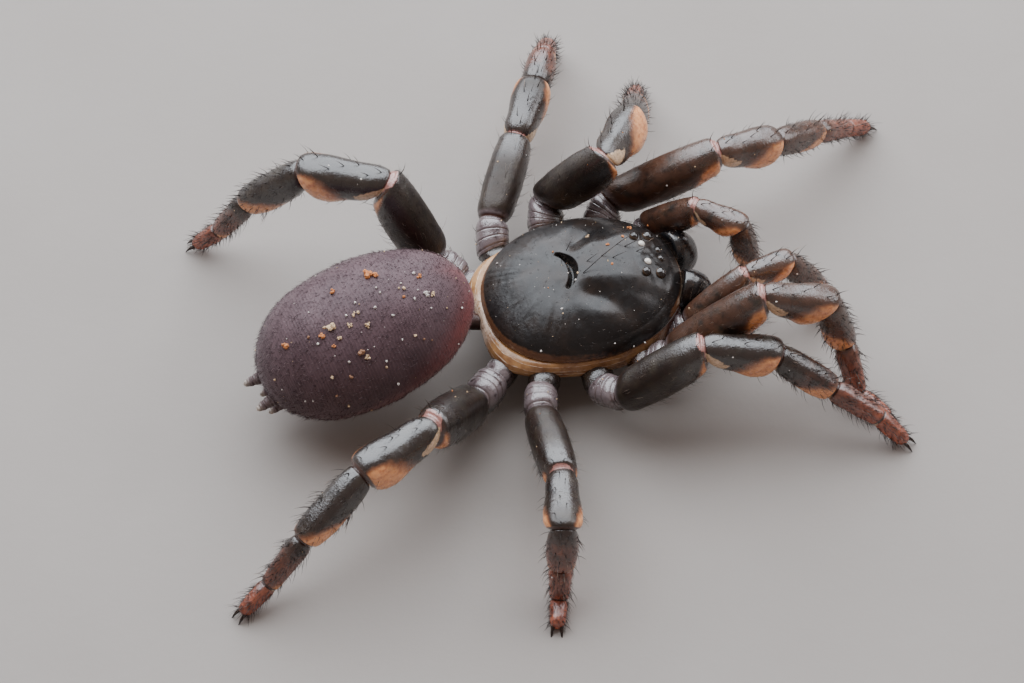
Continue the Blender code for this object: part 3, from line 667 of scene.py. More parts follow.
# How much lighter and browner each kind of limb is as a whole
LIMB_WARM = {"leg_1": 0.75, "leg_2": 0.12, "leg_3": 0.16, "leg_4": 0.10, "palp": 0.9}

# Flatness of a limb's section, and how the swelling of a part's underside is spread along it
SECTION_FLATNESS = 0.84
SWELLING_POWER = 1.6

# Narrowing at the joints and the dark seam in it, with the shares of a part over which each begins and ends
WAIST_DEPTH = 0.09
WAIST_NEAR = (0.015, 0.04)
WAIST_FAR = (0.965, 0.985)
SEAM_NEAR = (0.02, 0.04)
SEAM_FAR = (0.962, 0.98)

# Dark grooves across the trochanter
HIP_GROOVES = (0.10, 0.36, 0.60, 0.93)
HIP_GROOVE_DEPTH = 0.020
HIP_GROOVE_WIDTH = 0.018
HIP_GROOVE_WANDER = 0.03

# A limb's skin: points round it, the distance between its rings, and extra rings at the joints
LIMB_COLUMNS = 44
RING_SPACING = 0.07
LEAST_RINGS = 16
TROCHANTER_RINGS = 64
JOINT_RINGS = (0.008, 0.015, 0.023, 0.03, 0.04, 0.965, 0.972, 0.98, 0.985, 0.992)

# Amber of a part: how much later it begins on top, the shares of the part where it begins and is full, and
# the heights between which it fades towards the top, which lie above the limb where it doesn't fade
AMBER_SPREAD = {
    "femur": (0.26, 0.74, 0.88, 0.45, 0.80),
    ("leg_1", "femur"): (0.26, 0.58, 0.72, 0.45, 0.80),
    "patella": (0.62, 0.04, 0.52, 0.78, 0.96),
    "tibia": (0.74, 0.10, 0.50, 1.0, 1.1),
    ("leg_4", "metatarsus"): (0.40, 0.55, 0.85, 1.0, 1.1),
}

# Skin that shows at the knee: how far the pink reaches back along the femur at the sides and on top, and
# forward on the patella, then the cream's reach, middle height and span of heights, and its reach at
# other joints
PINK_REACH = 0.02
PINK_PEAK = 0.13
THIRD_LEG_PINK_PEAK = 0.05
PINK_FORWARD = 0.03
CREAM_REACH = 0.34
CREAM_HEIGHT = 0.44
CREAM_SPAN = 0.38
JOINT_CREAM = 0.05
SKIN_EDGE = 0.03

# Which of a limb's four shares of red hold at the start and end of each part
RED_STEPS = {"tibia": (0, 1), "metatarsus": (1, 2), "tarsus": (2, 3)}
PALP_TIP_RED = (1, 3)
HUB_DROP = 0.1
PALP_HIP_SHARE = 0.8


def squared(value):
    """Sine or cosine bent so that a limb's section is a little flatter on top and at its sides."""
    return np.copysign(np.abs(value) ** SECTION_FLATNESS, value)


def sternum_edge(angle, share, height, grow=0.0):
    """Point at an angle round the breastplate, at a share of its plan or grown beyond it."""
    ahead = (STERNUM_LENGTH / 2 * share + grow) * np.cos(angle) - STERNUM_SET_BACK
    left = (STERNUM_WIDTH / 2 * share + grow) * np.sin(angle)
    return body_point(ahead, left, height)


def limb_points(kind, side):
    """Joints from the coxa's inner end to the tip, as in the solids."""
    mirror = 1 if side == "left" else -1
    ahead, out = COXA_END[kind]
    hub = sternum_edge(math.radians(COXA_START[kind]) * mirror, 1.0, COXA_HEIGHT - HUB_DROP, JOINT_GAP)
    points = [hub, body_point(ahead, out * mirror, COXA_HEIGHT)]
    for length, angles in zip(SEGMENT_LENGTHS[kind], LIMB_POSE[kind, side]):
        start = points[-1]
        if len(angles) == 2:
            direction = turned(*angles)
        else:
            drop = min((start[2] - FOOT_HEIGHT) / length, STEEPEST_DROP)
            direction = turned(angles[0], -math.degrees(math.asin(drop)))
        points.append(start + direction * length)
    return points


def carried(frame_side, before, after):
    """Sideways direction turned as little as possible from one segment's line to the next."""
    axis = np.cross(before, after)
    sine = np.linalg.norm(axis)
    if sine < 1e-6:
        return frame_side
    axis = axis / sine
    angle = math.atan2(sine, float(before @ after))
    return (frame_side * math.cos(angle) + np.cross(axis, frame_side) * math.sin(angle)
            + axis * (axis @ frame_side) * (1 - math.cos(angle)))


class Limb:
    """Line, frames and widths of one limb, and points on its skin."""

    def __init__(self, kind, side):
        self.kind = kind
        self.name = f"{kind}_{side}"
        self.points = limb_points(kind, side)
        self.parts = PALP_PARTS if kind == "palp" else LEG_PARTS
        self.widths = (COXA_WIDTH * (PALP_HIP_SHARE if kind == "palp" else 1.0), *SEGMENT_WIDTHS[kind])
        self.curves = [smooth_curve(profile) for _, profile, _ in self.parts]
        self.alongs = [unit(b - a) for a, b in zip(self.points, self.points[1:])]
        self.lengths = [np.linalg.norm(b - a) for a, b in zip(self.points, self.points[1:])]
        self.starts = np.concatenate(([0.0], np.cumsum(self.lengths)))
        count = len(self.parts)
        sides = [None] * count
        sides[2] = unit(np.cross(self.alongs[2], (0, 0, 1)))
        for index in (1, 0):
            sides[index] = carried(sides[index + 1], self.alongs[index + 1], self.alongs[index])
        for index in range(3, count):
            sides[index] = carried(sides[index - 1], self.alongs[index - 1], self.alongs[index])
        self.sides = sides
        self.ups = [np.cross(s, a) for s, a in zip(sides, self.alongs)]
        between = [unit(before + after) for before, after in zip(self.alongs, self.alongs[1:])]
        self.normals = [self.alongs[0], *between, self.alongs[-1]]

    def surface(self, index, place, angle):
        """Skin points and their outward directions, at places along a part and angles round it."""
        along, side, up = self.alongs[index], self.sides[index], self.ups[index]
        start, end = self.points[index], self.points[index + 1]
        place, angle = np.broadcast_arrays(np.asarray(place, float), np.asarray(angle, float))
        joint = 1 - WAIST_DEPTH * (1 - step_up(place, *WAIST_NEAR)) * (index > 1)
        joint = joint * (1 - WAIST_DEPTH * step_up(place, *WAIST_FAR) * (1 < index < len(self.parts) - 1))
        half = self.widths[index] / 2 * self.curves[index](place) * joint
        across = half * squared(np.cos(angle))
        above = half * DEPTH_TO_WIDTH * squared(np.sin(angle))
        swelling = 1 + self.parts[index][2] * np.sin(math.pi * place ** SWELLING_POWER)
        above = np.where(above < 0, above * swelling, above)
        offset = across[..., None] * side + above[..., None] * up
        base = start + offset
        near, far = self.normals[index], self.normals[index + 1]
        first = ((start - base) @ near) / (along @ near)
        last = ((end - base) @ far) / (along @ far)
        points = base + along * (first + (last - first) * place)[..., None]
        out = offset / np.linalg.norm(offset, axis=-1, keepdims=True)
        points[..., 2] = np.maximum(points[..., 2], SKIN_LOWEST)
        return points, out


def amber_mark(part, kind, at, high):
    """Where a part is amber: from its underside up, and further towards its far end."""
    spread = AMBER_SPREAD.get((kind, part), AMBER_SPREAD.get(part))
    if spread is None:
        return 0.0
    lag, start, full, fade, gone = spread
    return step_up(at - lag * high, start, full) * (1 - step_up(high, fade, gone))


def dull_mark(part, kind, at):
    """Where the shell is less shiny: most of the femur, and the end of the third legs' patella."""
    if part == "femur":
        return 1 - step_up(at, 0.55, 0.88)
    if part == "patella" and kind == "leg_3":
        return 0.7 * step_up(at, 0.50, 0.85)
    return 0.0


def joint_marks(part, kind, length, at, high):
    """Pink skin on top of the knee, and cream skin at both sides of the knee's start."""
    if part == "femur":
        peak = THIRD_LEG_PINK_PEAK if kind == "leg_3" else PINK_PEAK
        reach = PINK_REACH + peak * step_up(high, 0.82, 1.0)
        return step_up((at - 1) * length + reach, -SKIN_EDGE, SKIN_EDGE) * step_up(high, 0.45, 0.75), 0.0
    if part == "patella":
        pink = step_up(PINK_FORWARD - at * length, -SKIN_EDGE, SKIN_EDGE) * step_up(high, 0.55, 0.8)
        reach = CREAM_REACH * (1 - np.abs(high - CREAM_HEIGHT) / CREAM_SPAN)
        return pink, step_up(reach - at, -0.02, 0.04)
    if part in RED_STEPS:
        return 0.0, step_up(JOINT_CREAM - at * length, -SKIN_EDGE, SKIN_EDGE) * step_up(1 - high, 0.3, 0.8)
    return 0.0, 0.0


def red_mark(part, kind, at, high):
    """How red a part of the foot is, less so on top."""
    if part not in RED_STEPS:
        return 0.0
    steps = PALP_TIP_RED if kind == "palp" and part == "tarsus" else RED_STEPS[part]
    start, end = (LIMB_RED[kind][step] for step in steps)
    return (start + (end - start) * at) * (1.1 - 0.6 * high)


def band_mark(part, kind, at, high):
    """Pale skin at the hip, lighter on its upper side as a painted highlight: on the trochanter, the start of
    the femur and the end of the last legs' coxa.
    """
    if part == "coxa" and kind == "leg_4":
        return step_up(at, 0.72, 0.9) * step_up(high, 0.4, 0.7)
    if part == "trochanter":
        return step_up(high, 0.34, 0.66)
    if part == "femur":
        return (1 - step_up(at, 0.02, 0.09)) * step_up(high, 0.2, 0.6)
    return 0.0


def part_marks(limb, index, at, high, cut):
    """Attributes of one part's skin, by the share of its length and by height; cut marks its grooves."""
    part, kind = limb.parts[index][0], limb.kind
    near = (1 - step_up(at, *SEAM_NEAR)) * (index > 1)
    far = step_up(at, *SEAM_FAR) * (1 < index < len(limb.parts) - 1)
    pink, cream = joint_marks(part, kind, limb.lengths[index], at, high)
    marks = {
        "seam": np.maximum(near + far, 0.6 * cut),
        "pink": pink,
        "cream": cream,
        "amber": amber_mark(part, kind, at, high),
        "red": red_mark(part, kind, at, high),
        "band": band_mark(part, kind, at, high),
        "warm": LIMB_WARM[kind] * (1 - 0.35 * high),
        "under": 0.8 * (1 - step_up(high, 0.12, 0.42)),
        "dull": dull_mark(part, kind, at),
    }
    return {key: np.broadcast_to(values, at.shape) for key, values in marks.items()}


def limb_skin(limb, material):
    """One skin over a whole limb, with a narrow seam at each joint and pale grooved skin at the hip, with a
    painted highlight on its upper side.
    """
    angle = round_angles(LIMB_COLUMNS) + math.pi / LIMB_COLUMNS
    rings, marks = [], []
    for index, (part, _, _) in enumerate(limb.parts):
        count = max(LEAST_RINGS, int(limb.lengths[index] / RING_SPACING))
        if part == "trochanter":
            count = TROCHANTER_RINGS
        place = np.unique(np.concatenate((np.linspace(0, 1, count), JOINT_RINGS)))
        if index:
            place = place[1:]
        at, high = np.broadcast_arrays(place[:, None], (np.sin(angle)[None, :] + 1) / 2)
        points, out = limb.surface(index, place[:, None], angle[None, :])
        ripple = lumps(points, (0.6, 1.0, 0.007), (0.17, 2.0, 0.0015))
        ripple = ripple * step_up(at, 0.0, 0.06) * (1 - step_up(at, 0.94, 1.0))
        cut = np.zeros(at.shape)
        if part == "trochanter":
            wander = noise_at(points, 0.5, 9.0) * HIP_GROOVE_WANDER
            for spot in HIP_GROOVES:
                cut = np.maximum(cut, np.exp(-((at - spot - wander) / HIP_GROOVE_WIDTH) ** 2))
        points = points + out * (ripple - HIP_GROOVE_DEPTH * cut)[..., None]
        points[..., 2] = np.maximum(points[..., 2], SKIN_LOWEST)
        rings.append(points)
        marks.append(part_marks(limb, index, at, high, cut))
    attributes = {key: np.concatenate([mark[key] for mark in marks]) for key in marks[0]}
    skin = tube_piece(limb.name + "_skin", np.concatenate(rings), material, attributes)
    nodes = ("coxa", "femur", "tip") if limb.kind == "palp" else ("coxa", "femur", "patella_tibia", "foot")
    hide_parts(*[f"{limb.name}_{node}" for node in nodes])


# Claws: their angles are in degrees, and a palp has a single smaller one
CLAW_LENGTH = 0.47
CLAW_THICKNESS = 0.13
CLAW_ROOT_BACK = 0.13
CLAW_SPACING = 0.09
CLAW_SPLAY = 0.16
CLAW_DROOP = 8.0
CLAW_CURL = 58.0
CLAW_LOWEST = 0.006
PALP_CLAW_SIZE = 0.7


def hook(root, level, side, length, thickness, droop, curl, rows=12, columns=10):
    """Rings of one curved, tapering claw."""
    rings = []
    angle = round_angles(columns)[:, None]
    for step in range(rows):
        share = step / (rows - 1)
        bend = math.radians(-droop - curl * share)
        direction = level * math.cos(bend) + np.array((0, 0, 1)) * math.sin(bend)
        if step:
            root = root + direction * length / (rows - 1)
        half = thickness / 2 * (1 - 0.93 * share ** 1.3)
        ring = root + side * half * np.cos(angle) + np.cross(direction, side) * half * np.sin(angle)
        ring[:, 2] = np.maximum(ring[:, 2], CLAW_LOWEST)
        rings.append(ring)
    return np.array(rings)


def claws(limb, material):
    """A pair of black hooks at a leg's tip, or one small hook at a palp's."""
    along = limb.alongs[-1]
    level = unit(along * (1, 1, 0))
    side = np.cross(level, (0, 0, 1))
    points, faces = [], []
    sideways, size = ((0.0,), PALP_CLAW_SIZE) if limb.kind == "palp" else ((-1.0, 1.0), 1.0)
    for number, place in enumerate(sideways):
        root = limb.points[-1] - along * CLAW_ROOT_BACK + side * place * CLAW_SPACING
        splay = unit(level + side * place * CLAW_SPLAY)
        rings = hook(root, splay, side, CLAW_LENGTH * size, CLAW_THICKNESS * size, CLAW_DROOP, CLAW_CURL)
        rows, columns = rings.shape[:2]
        points.append(closed(rings))
        faces += skin_faces(rows, columns, number * len(points[0]))
    piece = mesh_piece(limb.name + "_claws", np.concatenate(points), faces, material, {})


# Bristles

# A bristle's three rings of three corners, as shares of its length, and its depth in the skin
BRISTLE_RINGS = (0.0, 0.4, 0.75)
BRISTLE_POINTS = 10
ROOT_DEPTH = 0.015

# The part of the picture that a bristle takes up, where colours are baked
BAKE_SPREAD = 0.996
BAKE_PATCH = 0.003


def bristles(name, roots, outs, leans, lengths, widths, rises, uvs, material, curl=0.35,
             slot="black_shell", tan=False):
    """One mesh of tapered, curved bristles, each at a rise off the skin; tan marks the pale ones."""
    count = len(roots)
    rise = np.radians(rises)[:, None]
    leans = leans - outs * np.sum(leans * outs, axis=1, keepdims=True)
    leans = leans / np.maximum(np.linalg.norm(leans, axis=1, keepdims=True), 1e-9)
    direction = leans * np.cos(rise) + outs * np.sin(rise)
    bend = leans * np.sin(rise) - outs * np.cos(rise)
    side = np.cross(direction, bend)
    points = np.zeros((count, BRISTLE_POINTS, 3))
    reach = np.repeat((*BRISTLE_RINGS, 1.0), 3)[:BRISTLE_POINTS]
    for number, share in enumerate(reach):
        centre = roots - outs * ROOT_DEPTH + direction * (lengths * share)[:, None]
        centre = centre + bend * (lengths * curl * share ** 2)[:, None]
        thick = (widths / 2 * (1 - share ** 1.5))[:, None]
        angle = 2 * math.pi * (number % 3) / 3
        points[:, number] = centre + side * thick * math.cos(angle) + bend * thick * math.sin(angle)
    faces = [(2, 1, 0)]
    for level in range(2):
        for corner in range(3):
            a, b = level * 3 + corner, level * 3 + (corner + 1) % 3
            faces += [(a, b, b + 3), (a, b + 3, a + 3)]
    faces += [(6 + corner, 6 + (corner + 1) % 3, 9) for corner in range(3)]
    points[..., 2] = np.maximum(points[..., 2], HAIR_LOWEST)
    corners = (np.array(faces)[None] + (np.arange(count) * BRISTLE_POINTS)[:, None, None]).reshape(-1, 3)
    mesh = bpy.data.meshes.new(name)
    mesh.vertices.add(count * BRISTLE_POINTS)
    mesh.vertices.foreach_set("co", ((points.reshape(-1, 3) + SHIFT) * MM).astype(np.float32).ravel())
    mesh.loops.add(corners.size)
    mesh.loops.foreach_set("vertex_index", corners.astype(np.int32).ravel())
    mesh.polygons.add(len(corners))
    mesh.polygons.foreach_set("loop_start", np.arange(0, corners.size, 3, dtype=np.int32))
    own = np.where(tan, 0.0, RANDOM.random(count))
    for key, values in (("reach", np.tile(reach, count)), ("own", np.repeat(own, BRISTLE_POINTS))):
        layer = mesh.attributes.new(key, "FLOAT", "POINT")
        layer.data.foreach_set("value", values.astype(np.float32))
    patch = np.tile(((0, 0), (1, 0), (0, 1)) * 3 + ((0.5, 0.5),), (count, 1))
    spots = np.repeat(uvs, BRISTLE_POINTS, axis=0) * BAKE_SPREAD + patch * BAKE_PATCH
    layer = mesh.uv_layers.new(name="OFBake")
    layer.data.foreach_set("uv", spots[corners.ravel()].astype(np.float32).ravel())
    mesh.materials.append(material)
    mesh.update()
    mesh.validate()
    mesh.shade_smooth()
    piece = bpy.data.objects.new(name, mesh)
    bpy.context.scene.collection.objects.link(piece)
    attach(piece, "root")
    return piece


# For each part: bristles per mm of length, shortest and longest, width, and rise off the skin
COATS = {
    "coxa": ((14, 0.10, 0.22, 0.016, 35),),
    "trochanter": ((20, 0.12, 0.26, 0.016, 40),),
    "femur": ((110, 0.09, 0.20, 0.010, 30), (34, 0.26, 0.54, 0.010, 50)),
    "patella": ((24, 0.08, 0.20, 0.010, 34), (8, 0.20, 0.38, 0.018, 58)),
    "tibia": ((70, 0.12, 0.26, 0.016, 40), (26, 0.25, 0.46, 0.022, 55)),
    "metatarsus": ((110, 0.12, 0.26, 0.016, 42), (34, 0.25, 0.46, 0.022, 55)),
    "tarsus": ((170, 0.10, 0.24, 0.015, 45), (44, 0.22, 0.42, 0.020, 55)),
}

# Share of the femur's bristles that hang below it, length from which they are tan, and the lowest root
FRINGE_SHARE = 0.6
TAN_LENGTH = 0.4
LOWEST_ROOT = 0.05

# Stout spines: number of the part, places along it, angles round it or None for near its top, and length
STOUT_SPINES = (
    (2, (0.93, 0.95), (70, 100), 0.48),
    (3, (0.12, 0.24, 0.36, 0.5, 0.63, 0.77, 0.9), None, 0.32),
    (4, (0.1, 0.3, 0.5, 0.7, 0.9), None, 0.32),
)
SPINE_WIDTH = 0.034
SPINE_RISE = 62.0


def limb_bristles(limb, material):
    """Bristles all round a limb, denser towards its foot, and leaning towards its tip."""
    groups = []
    for index, (part, _, _) in enumerate(limb.parts):
        for density, shortest, longest, width, rise in COATS[part]:
            count = int(density * limb.lengths[index])
            place = RANDOM.uniform(0.06, 0.95, count)
            angle = RANDOM.uniform(0, 2 * math.pi, count)
            if part == "femur":
                below = RANDOM.random(count) < FRINGE_SHARE
                angle = np.where(below, RANDOM.uniform(math.pi, 2 * math.pi, count), angle)
            points, out = limb.surface(index, place, angle)
            lean = limb.alongs[index] + RANDOM.normal(0, 0.22, (count, 3))
            length = RANDOM.uniform(shortest, longest, count)
            rises = rise + RANDOM.normal(0, 9, count)
            along = (limb.starts[index] + place * limb.lengths[index]) / limb.starts[-1]
            spots = np.stack((angle / (2 * math.pi), along), 1)
            tan = np.full(count, part == "femur" and longest > TAN_LENGTH)
            values = (points, out, lean, length, np.full(count, width), rises, spots, tan)
            groups.append([value[points[:, 2] > LOWEST_ROOT] for value in values])
    groups.append(stout_spines(limb))
    *joined, tan = [np.concatenate(values) for values in zip(*groups)]
    bristles(limb.name + "_bristles", *joined, material, tan=tan)


def stout_spines(limb):
    """Row of stout curved spines along the top of the patella and tibia, and two at the end of the femur."""
    spines = []
    for index, places, angles, size in STOUT_SPINES:
        for number, at in enumerate(places):
            around = math.radians(angles[number] if angles else 86 + 16 * math.sin(number * 2.1))
            point, out = limb.surface(index, at, around)
            length = size * (1 + 0.2 * math.sin(number * 5.3))
            spot = (around / (2 * math.pi), (limb.starts[index] + at * limb.lengths[index]) / limb.starts[-1])
            spines.append((point, out, limb.alongs[index], length, SPINE_WIDTH, SPINE_RISE, spot, False))
    return [np.array(values) for values in zip(*spines)]


# Head and chest

# The curved pit: its middle, the radius of its curve, its half turn in radians and its depth, and the dish
# round it
FOVEA_AT = (-0.28, 0.04)
FOVEA_RADIUS = 0.70
FOVEA_TURN = 0.95
FOVEA_DEPTH = 0.30
DISH_WIDTH = 0.42
DISH_DEPTH = 0.03

# The groove between head and chest on one side: places ahead and beside the middle, and how deep each is
NECK_LINE = (
    (-0.25, 0.50, 0.35), (0.08, 0.92, 1.0), (0.45, 1.20, 0.80), (1.00, 1.62, 0.30), (1.70, 2.00, 0.0),
)
NECK_DEPTH = 0.15
NECK_WIDTH = 0.29

# Shallow hollows that fan out from the pit: heading in degrees and depth
HOLLOWS = ((85, 0.022), (112, 0.026), (138, 0.024), (162, 0.018))
HOLLOW_WIDTH = 0.15

# The crown, from which the shell falls at both sides: half its width, and how it widens towards the front
CROWN_HALF = 0.40
CROWN_WIDENING = 0.10
CROWN_FROM = -0.3
CROWN_SIDE = 0.55
CROWN_HEIGHT = 0.09

# The low mound of the eyes, the grain of the skin round them, and the ridge along the front edge
MOUND_AT = 1.85
MOUND_HALF = (0.42, 0.85)
MOUND_HEIGHT = 0.05
EYE_GRAIN = 0.028
RIDGE_SHARE = 0.905
RIDGE_WIDTH = 0.03
RIDGE_HEIGHT = 0.035

# Fine wrinkles that fan out behind
WRINKLE_CENTRE = -0.6
WRINKLES = 46
WRINKLE_DEPTH = 0.005

# How steeply the relief fades out at the edge
EDGE_FADE = 12

# The edge turned under: growth beyond the outline, drop below the rim, and how much it is coloured as rim
TURNED_EDGE = ((0.018, 0.03, 0.6), (0.02, 0.07, 0.8), (0.0, 0.11, 1.0), (-0.07, 0.14, 0.8), (-0.2, 0.15, 0.3))
EDGE_WAVE = 0.012


def carapace_top(ahead):
    """Height of the crest, highest over the head and lower to the rear."""
    rear = np.minimum(0.0, ahead - HEAD_RISE_AT) / (CARAPACE_LENGTH / 2)
    front = np.maximum(0.0, ahead - HEAD_RISE_AT) / (CARAPACE_LENGTH / 2)
    return CARAPACE_TOP - REAR_FALL * rear ** 2 - FRONT_FALL * front ** 2


def dome_height(ahead, share):
    """Height of the plain dome at a share of the way from its middle to its edge."""
    inner, outer = DOME_POWERS
    return CARAPACE_RIM + (carapace_top(ahead) - CARAPACE_RIM) * (1 - share ** inner) ** outer


def carapace_height(ahead, left):
    """Height of the plain dome over points inside its edge."""
    return dome_height(ahead, np.minimum(1.0, np.hypot(ahead, left) / edge_distance(ahead, left)))


def carapace_outward(ahead, left, nudge=0.03):
    """Direction square to the plain dome."""
    slope_ahead = (carapace_height(ahead + nudge, left) - carapace_height(ahead - nudge, left)) / (2 * nudge)
    slope_left = (carapace_height(ahead, left + nudge) - carapace_height(ahead, left - nudge)) / (2 * nudge)
    outward = body_point(-slope_ahead, -slope_left, 1.0)
    return outward / np.linalg.norm(outward, axis=-1, keepdims=True)


def groove(ahead, left, start, end, width):
    """1 along the middle of a straight groove, falling to 0 at its sides and ends."""
    start, end = np.array(start), np.array(end)
    line = end - start
    share = ((ahead - start[0]) * line[0] + (left - start[1]) * line[1]) / (line @ line)
    away = np.abs((ahead - start[0]) * line[1] - (left - start[1]) * line[0]) / np.linalg.norm(line)
    ends = step_up(share, 0.0, 0.25) * (1 - step_up(share, 0.7, 1.05))
    return np.exp(-(away / width) ** 2) * ends


def level_curves(levels):
    """A smooth curve through each column of a table, by row number."""
    return [smooth_curve(list(enumerate(column))) for column in zip(*levels)]


def neck_groove(ahead, left):
    """Depth between 0 and 1 of the curved grooves that part the head from the chest on both sides."""
    steps = np.linspace(0, len(NECK_LINE) - 1, 60)
    line_ahead, line_out, line_depth = (curve(steps) for curve in level_curves(NECK_LINE))
    gap = np.hypot(ahead[:, None] - line_ahead, np.abs(left)[:, None] - line_out)
    return np.max(np.exp(-(gap / NECK_WIDTH) ** 2) * line_depth, axis=1)


def carapace_relief(ahead, left, share):
    """Depth to take off the plain dome, and how far each point is in the pit."""
    turn = np.arctan2(left - FOVEA_AT[1], ahead - FOVEA_AT[0] + FOVEA_RADIUS)
    away = np.abs(np.hypot(left - FOVEA_AT[1], ahead - FOVEA_AT[0] + FOVEA_RADIUS) - FOVEA_RADIUS)
    taper = np.maximum(0.04, 0.05 + 0.08 * np.cos(turn * 1.45))
    ends = 1 - step_up(np.abs(turn), FOVEA_TURN - 0.2, FOVEA_TURN + 0.1)
    pit = (1 - step_up(away, 0.2 * taper, 1.15 * taper)) * ends
    dish = (1 - step_up(away, 0.0, DISH_WIDTH)) * (1 - step_up(np.abs(turn), 0.7, 1.5))
    depth = FOVEA_DEPTH * pit + DISH_DEPTH * dish + NECK_DEPTH * neck_groove(ahead, left)
    crown = CROWN_HALF + CROWN_WIDENING * np.maximum(0.0, ahead - CROWN_FROM) ** 2
    beside = step_up(np.abs(left), crown, crown + CROWN_SIDE)
    depth = depth + CROWN_HEIGHT * beside * step_up(ahead, -1.1, -0.3)
    mound = np.hypot((ahead - MOUND_AT) / MOUND_HALF[0], left / MOUND_HALF[1])
    depth = depth - MOUND_HEIGHT * (1 - step_up(mound, 0.6, 1.15))
    ridge = np.exp(-((share - RIDGE_SHARE) / RIDGE_WIDTH) ** 2)
    depth = depth - RIDGE_HEIGHT * ridge * step_up(ahead, 1.8, 2.2)
    for mirror in (-1, 1):
        for heading, deep in HOLLOWS:
            around = math.radians(heading)
            end = (2.2 * math.cos(around) + WRINKLE_CENTRE, 2.1 * math.sin(around) * mirror)
            depth = depth + deep * groove(ahead, left, (-0.7, 0.2 * mirror), end, HOLLOW_WIDTH)
    around = np.arctan2(left, ahead - WRINKLE_CENTRE)
    radius = np.hypot(left, ahead - WRINKLE_CENTRE)
    wrinkle = np.sin(around * WRINKLES + 2.2 * np.sin(around * 7) + radius * 1.5) * step_up(share, 0.55, 0.8)
    wrinkle = wrinkle * (1 - step_up(share, 0.95, 1.0)) * step_up(-ahead, -0.9, 0.6)
    return depth + WRINKLE_DEPTH * wrinkle, pit


def carapace(material):
    """Domed shell with a pit, a head parted from the chest by grooves, and a turned-under edge."""
    angle = round_angles(300)
    rings, pits, rims, leathers = [], [], [], []
    edge_ahead, edge_left = carapace_outline(angle)
    behind = step_up(-np.cos(angle), -0.45, 0.35)
    front = step_up(np.cos(angle), 0.6, 0.9)
    rear = step_up(-np.cos(angle), 0.2, 0.8)
    for share in np.concatenate((np.linspace(0.012, 0.9, 130), np.linspace(0.906, 1.0, 26))):
        ahead, left = edge_ahead * share, edge_left * share
        height = dome_height(ahead, share)
        depth, pit = carapace_relief(ahead, left, share)
        points = body_point(ahead, left, height)
        near_eyes = 1 - step_up(np.hypot((ahead - 1.9) / 0.45, left / 0.9), 0.7, 1.2)
        waves = lumps(points, (0.8, 3.0, 0.006), (0.2, 4.0, 0.0012), (0.18, 13.0, EYE_GRAIN * near_eyes))
        rings.append(body_point(ahead, left, height - (depth - waves) * min(1.0, (1 - share) * EDGE_FADE)))
        pits.append(pit)
        # Rim colour, strongest at the rear and front; its cream line is partly painted highlight
        edging = step_up(share, 0.955, 1.0) * (0.10 + 0.30 * behind + 0.22 * rear)
        rims.append(edging + 0.75 * front * step_up(share, 0.970, 0.995))
        leathers.append(step_up(share, 0.45, 0.85) * (0.35 + 0.65 * behind))
    for grow, drop, rim in TURNED_EDGE:
        wave = EDGE_WAVE * np.sin(angle * 9) * np.sin(angle * 5 + 1)
        rings.append(body_point(*carapace_outline(angle, grow), CARAPACE_RIM - drop + wave))
        pits.append(angle * 0)
        rims.append(rim * (0.35 + 0.35 * behind + 0.3 * rear + 0.3 * front))
        leathers.append(angle * 0)
    marks = {"pit": np.array(pits), "rim": np.array(rims), "leather": np.array(leathers)}
    piece = tube_piece("carapace_shell", np.array(rings), material, marks)
    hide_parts("carapace")


# The flank's skin, from under the carapace's edge to the hips: share of its bulge, growth beyond the
# carapace's edge, and height
FLANK_LEVELS = (
    (0.0, -0.50, 1.80), (0.0, -0.10, 1.80), (0.25, 0.0, 1.80), (0.60, 0.02, 1.74), (0.90, 0.03, 1.62),
    (1.0, 0.03, 1.46), (0.95, 0.0, 1.30), (0.70, -0.08, 1.14), (0.20, -0.35, 1.02), (0.0, -0.80, 0.98),
)
FLANK_BULGE = 0.34
FLANK_BULGE_AT = 149.0
FLANK_BULGE_SPAN = 24.0
FLANK_LEAST_BULGE = 0.04

# Creases along the flank: share of the way down it at the rear, and how much further down in front
CREASES = ((0.28, 0.12), (0.38, 0.14), (0.50, 0.12))
CREASE_WIDTH = 0.010
CREASE_RISE = 0.012


def flank(material):
    """Soft skin that swells out between the carapace's edge and the hips, most beside the last two legs."""
    angle = np.linspace(-math.pi, math.pi, 320, endpoint=False)
    beside = np.abs(np.degrees(angle))
    bulge = FLANK_LEAST_BULGE + FLANK_BULGE * np.exp(-((beside - FLANK_BULGE_AT) / FLANK_BULGE_SPAN) ** 2)
    forward = 1 - step_up(beside, 60, 170)
    ahead, left = carapace_outline(angle)
    size = np.hypot(ahead, left)
    curves = level_curves(FLANK_LEVELS)
    rings, creases = [], []
    for step in np.linspace(0, len(FLANK_LEVELS) - 1, 76):
        swell, grow, height = (float(curve(step)) for curve in curves)
        across = step / (len(FLANK_LEVELS) - 1)
        reach = 1 + (swell * bulge + grow) / size
        points = body_point(ahead * reach, left * reach, height)
        crease = np.zeros(len(angle))
        for number, (start, lift) in enumerate(CREASES):
            wobble = lumps(points, (1.1, 6.0 + number, 0.06), (0.3, 7.0 + number, 0.014))
            at = start + lift * forward + wobble
            crease = np.maximum(crease, np.exp(-((across - at) / CREASE_WIDTH) ** 2))
        crease = crease * step_up(beside, 62, 92)
        swelling = lumps(points, (0.9, 5.0, 0.05), (0.35, 8.0, 0.012)) + CREASE_RISE * crease
        reach = reach + swelling / size
        rings.append(body_point(ahead * reach, left * reach, height))
        creases.append(crease)
    marks = {
        "crease": np.array(creases),
        "rear": step_up(beside, 160, 172)[None, :],
        "front": 1 - step_up(beside, 45, 75)[None, :],
    }
    piece = tube_piece("flank_skin", np.array(rings), material, marks)


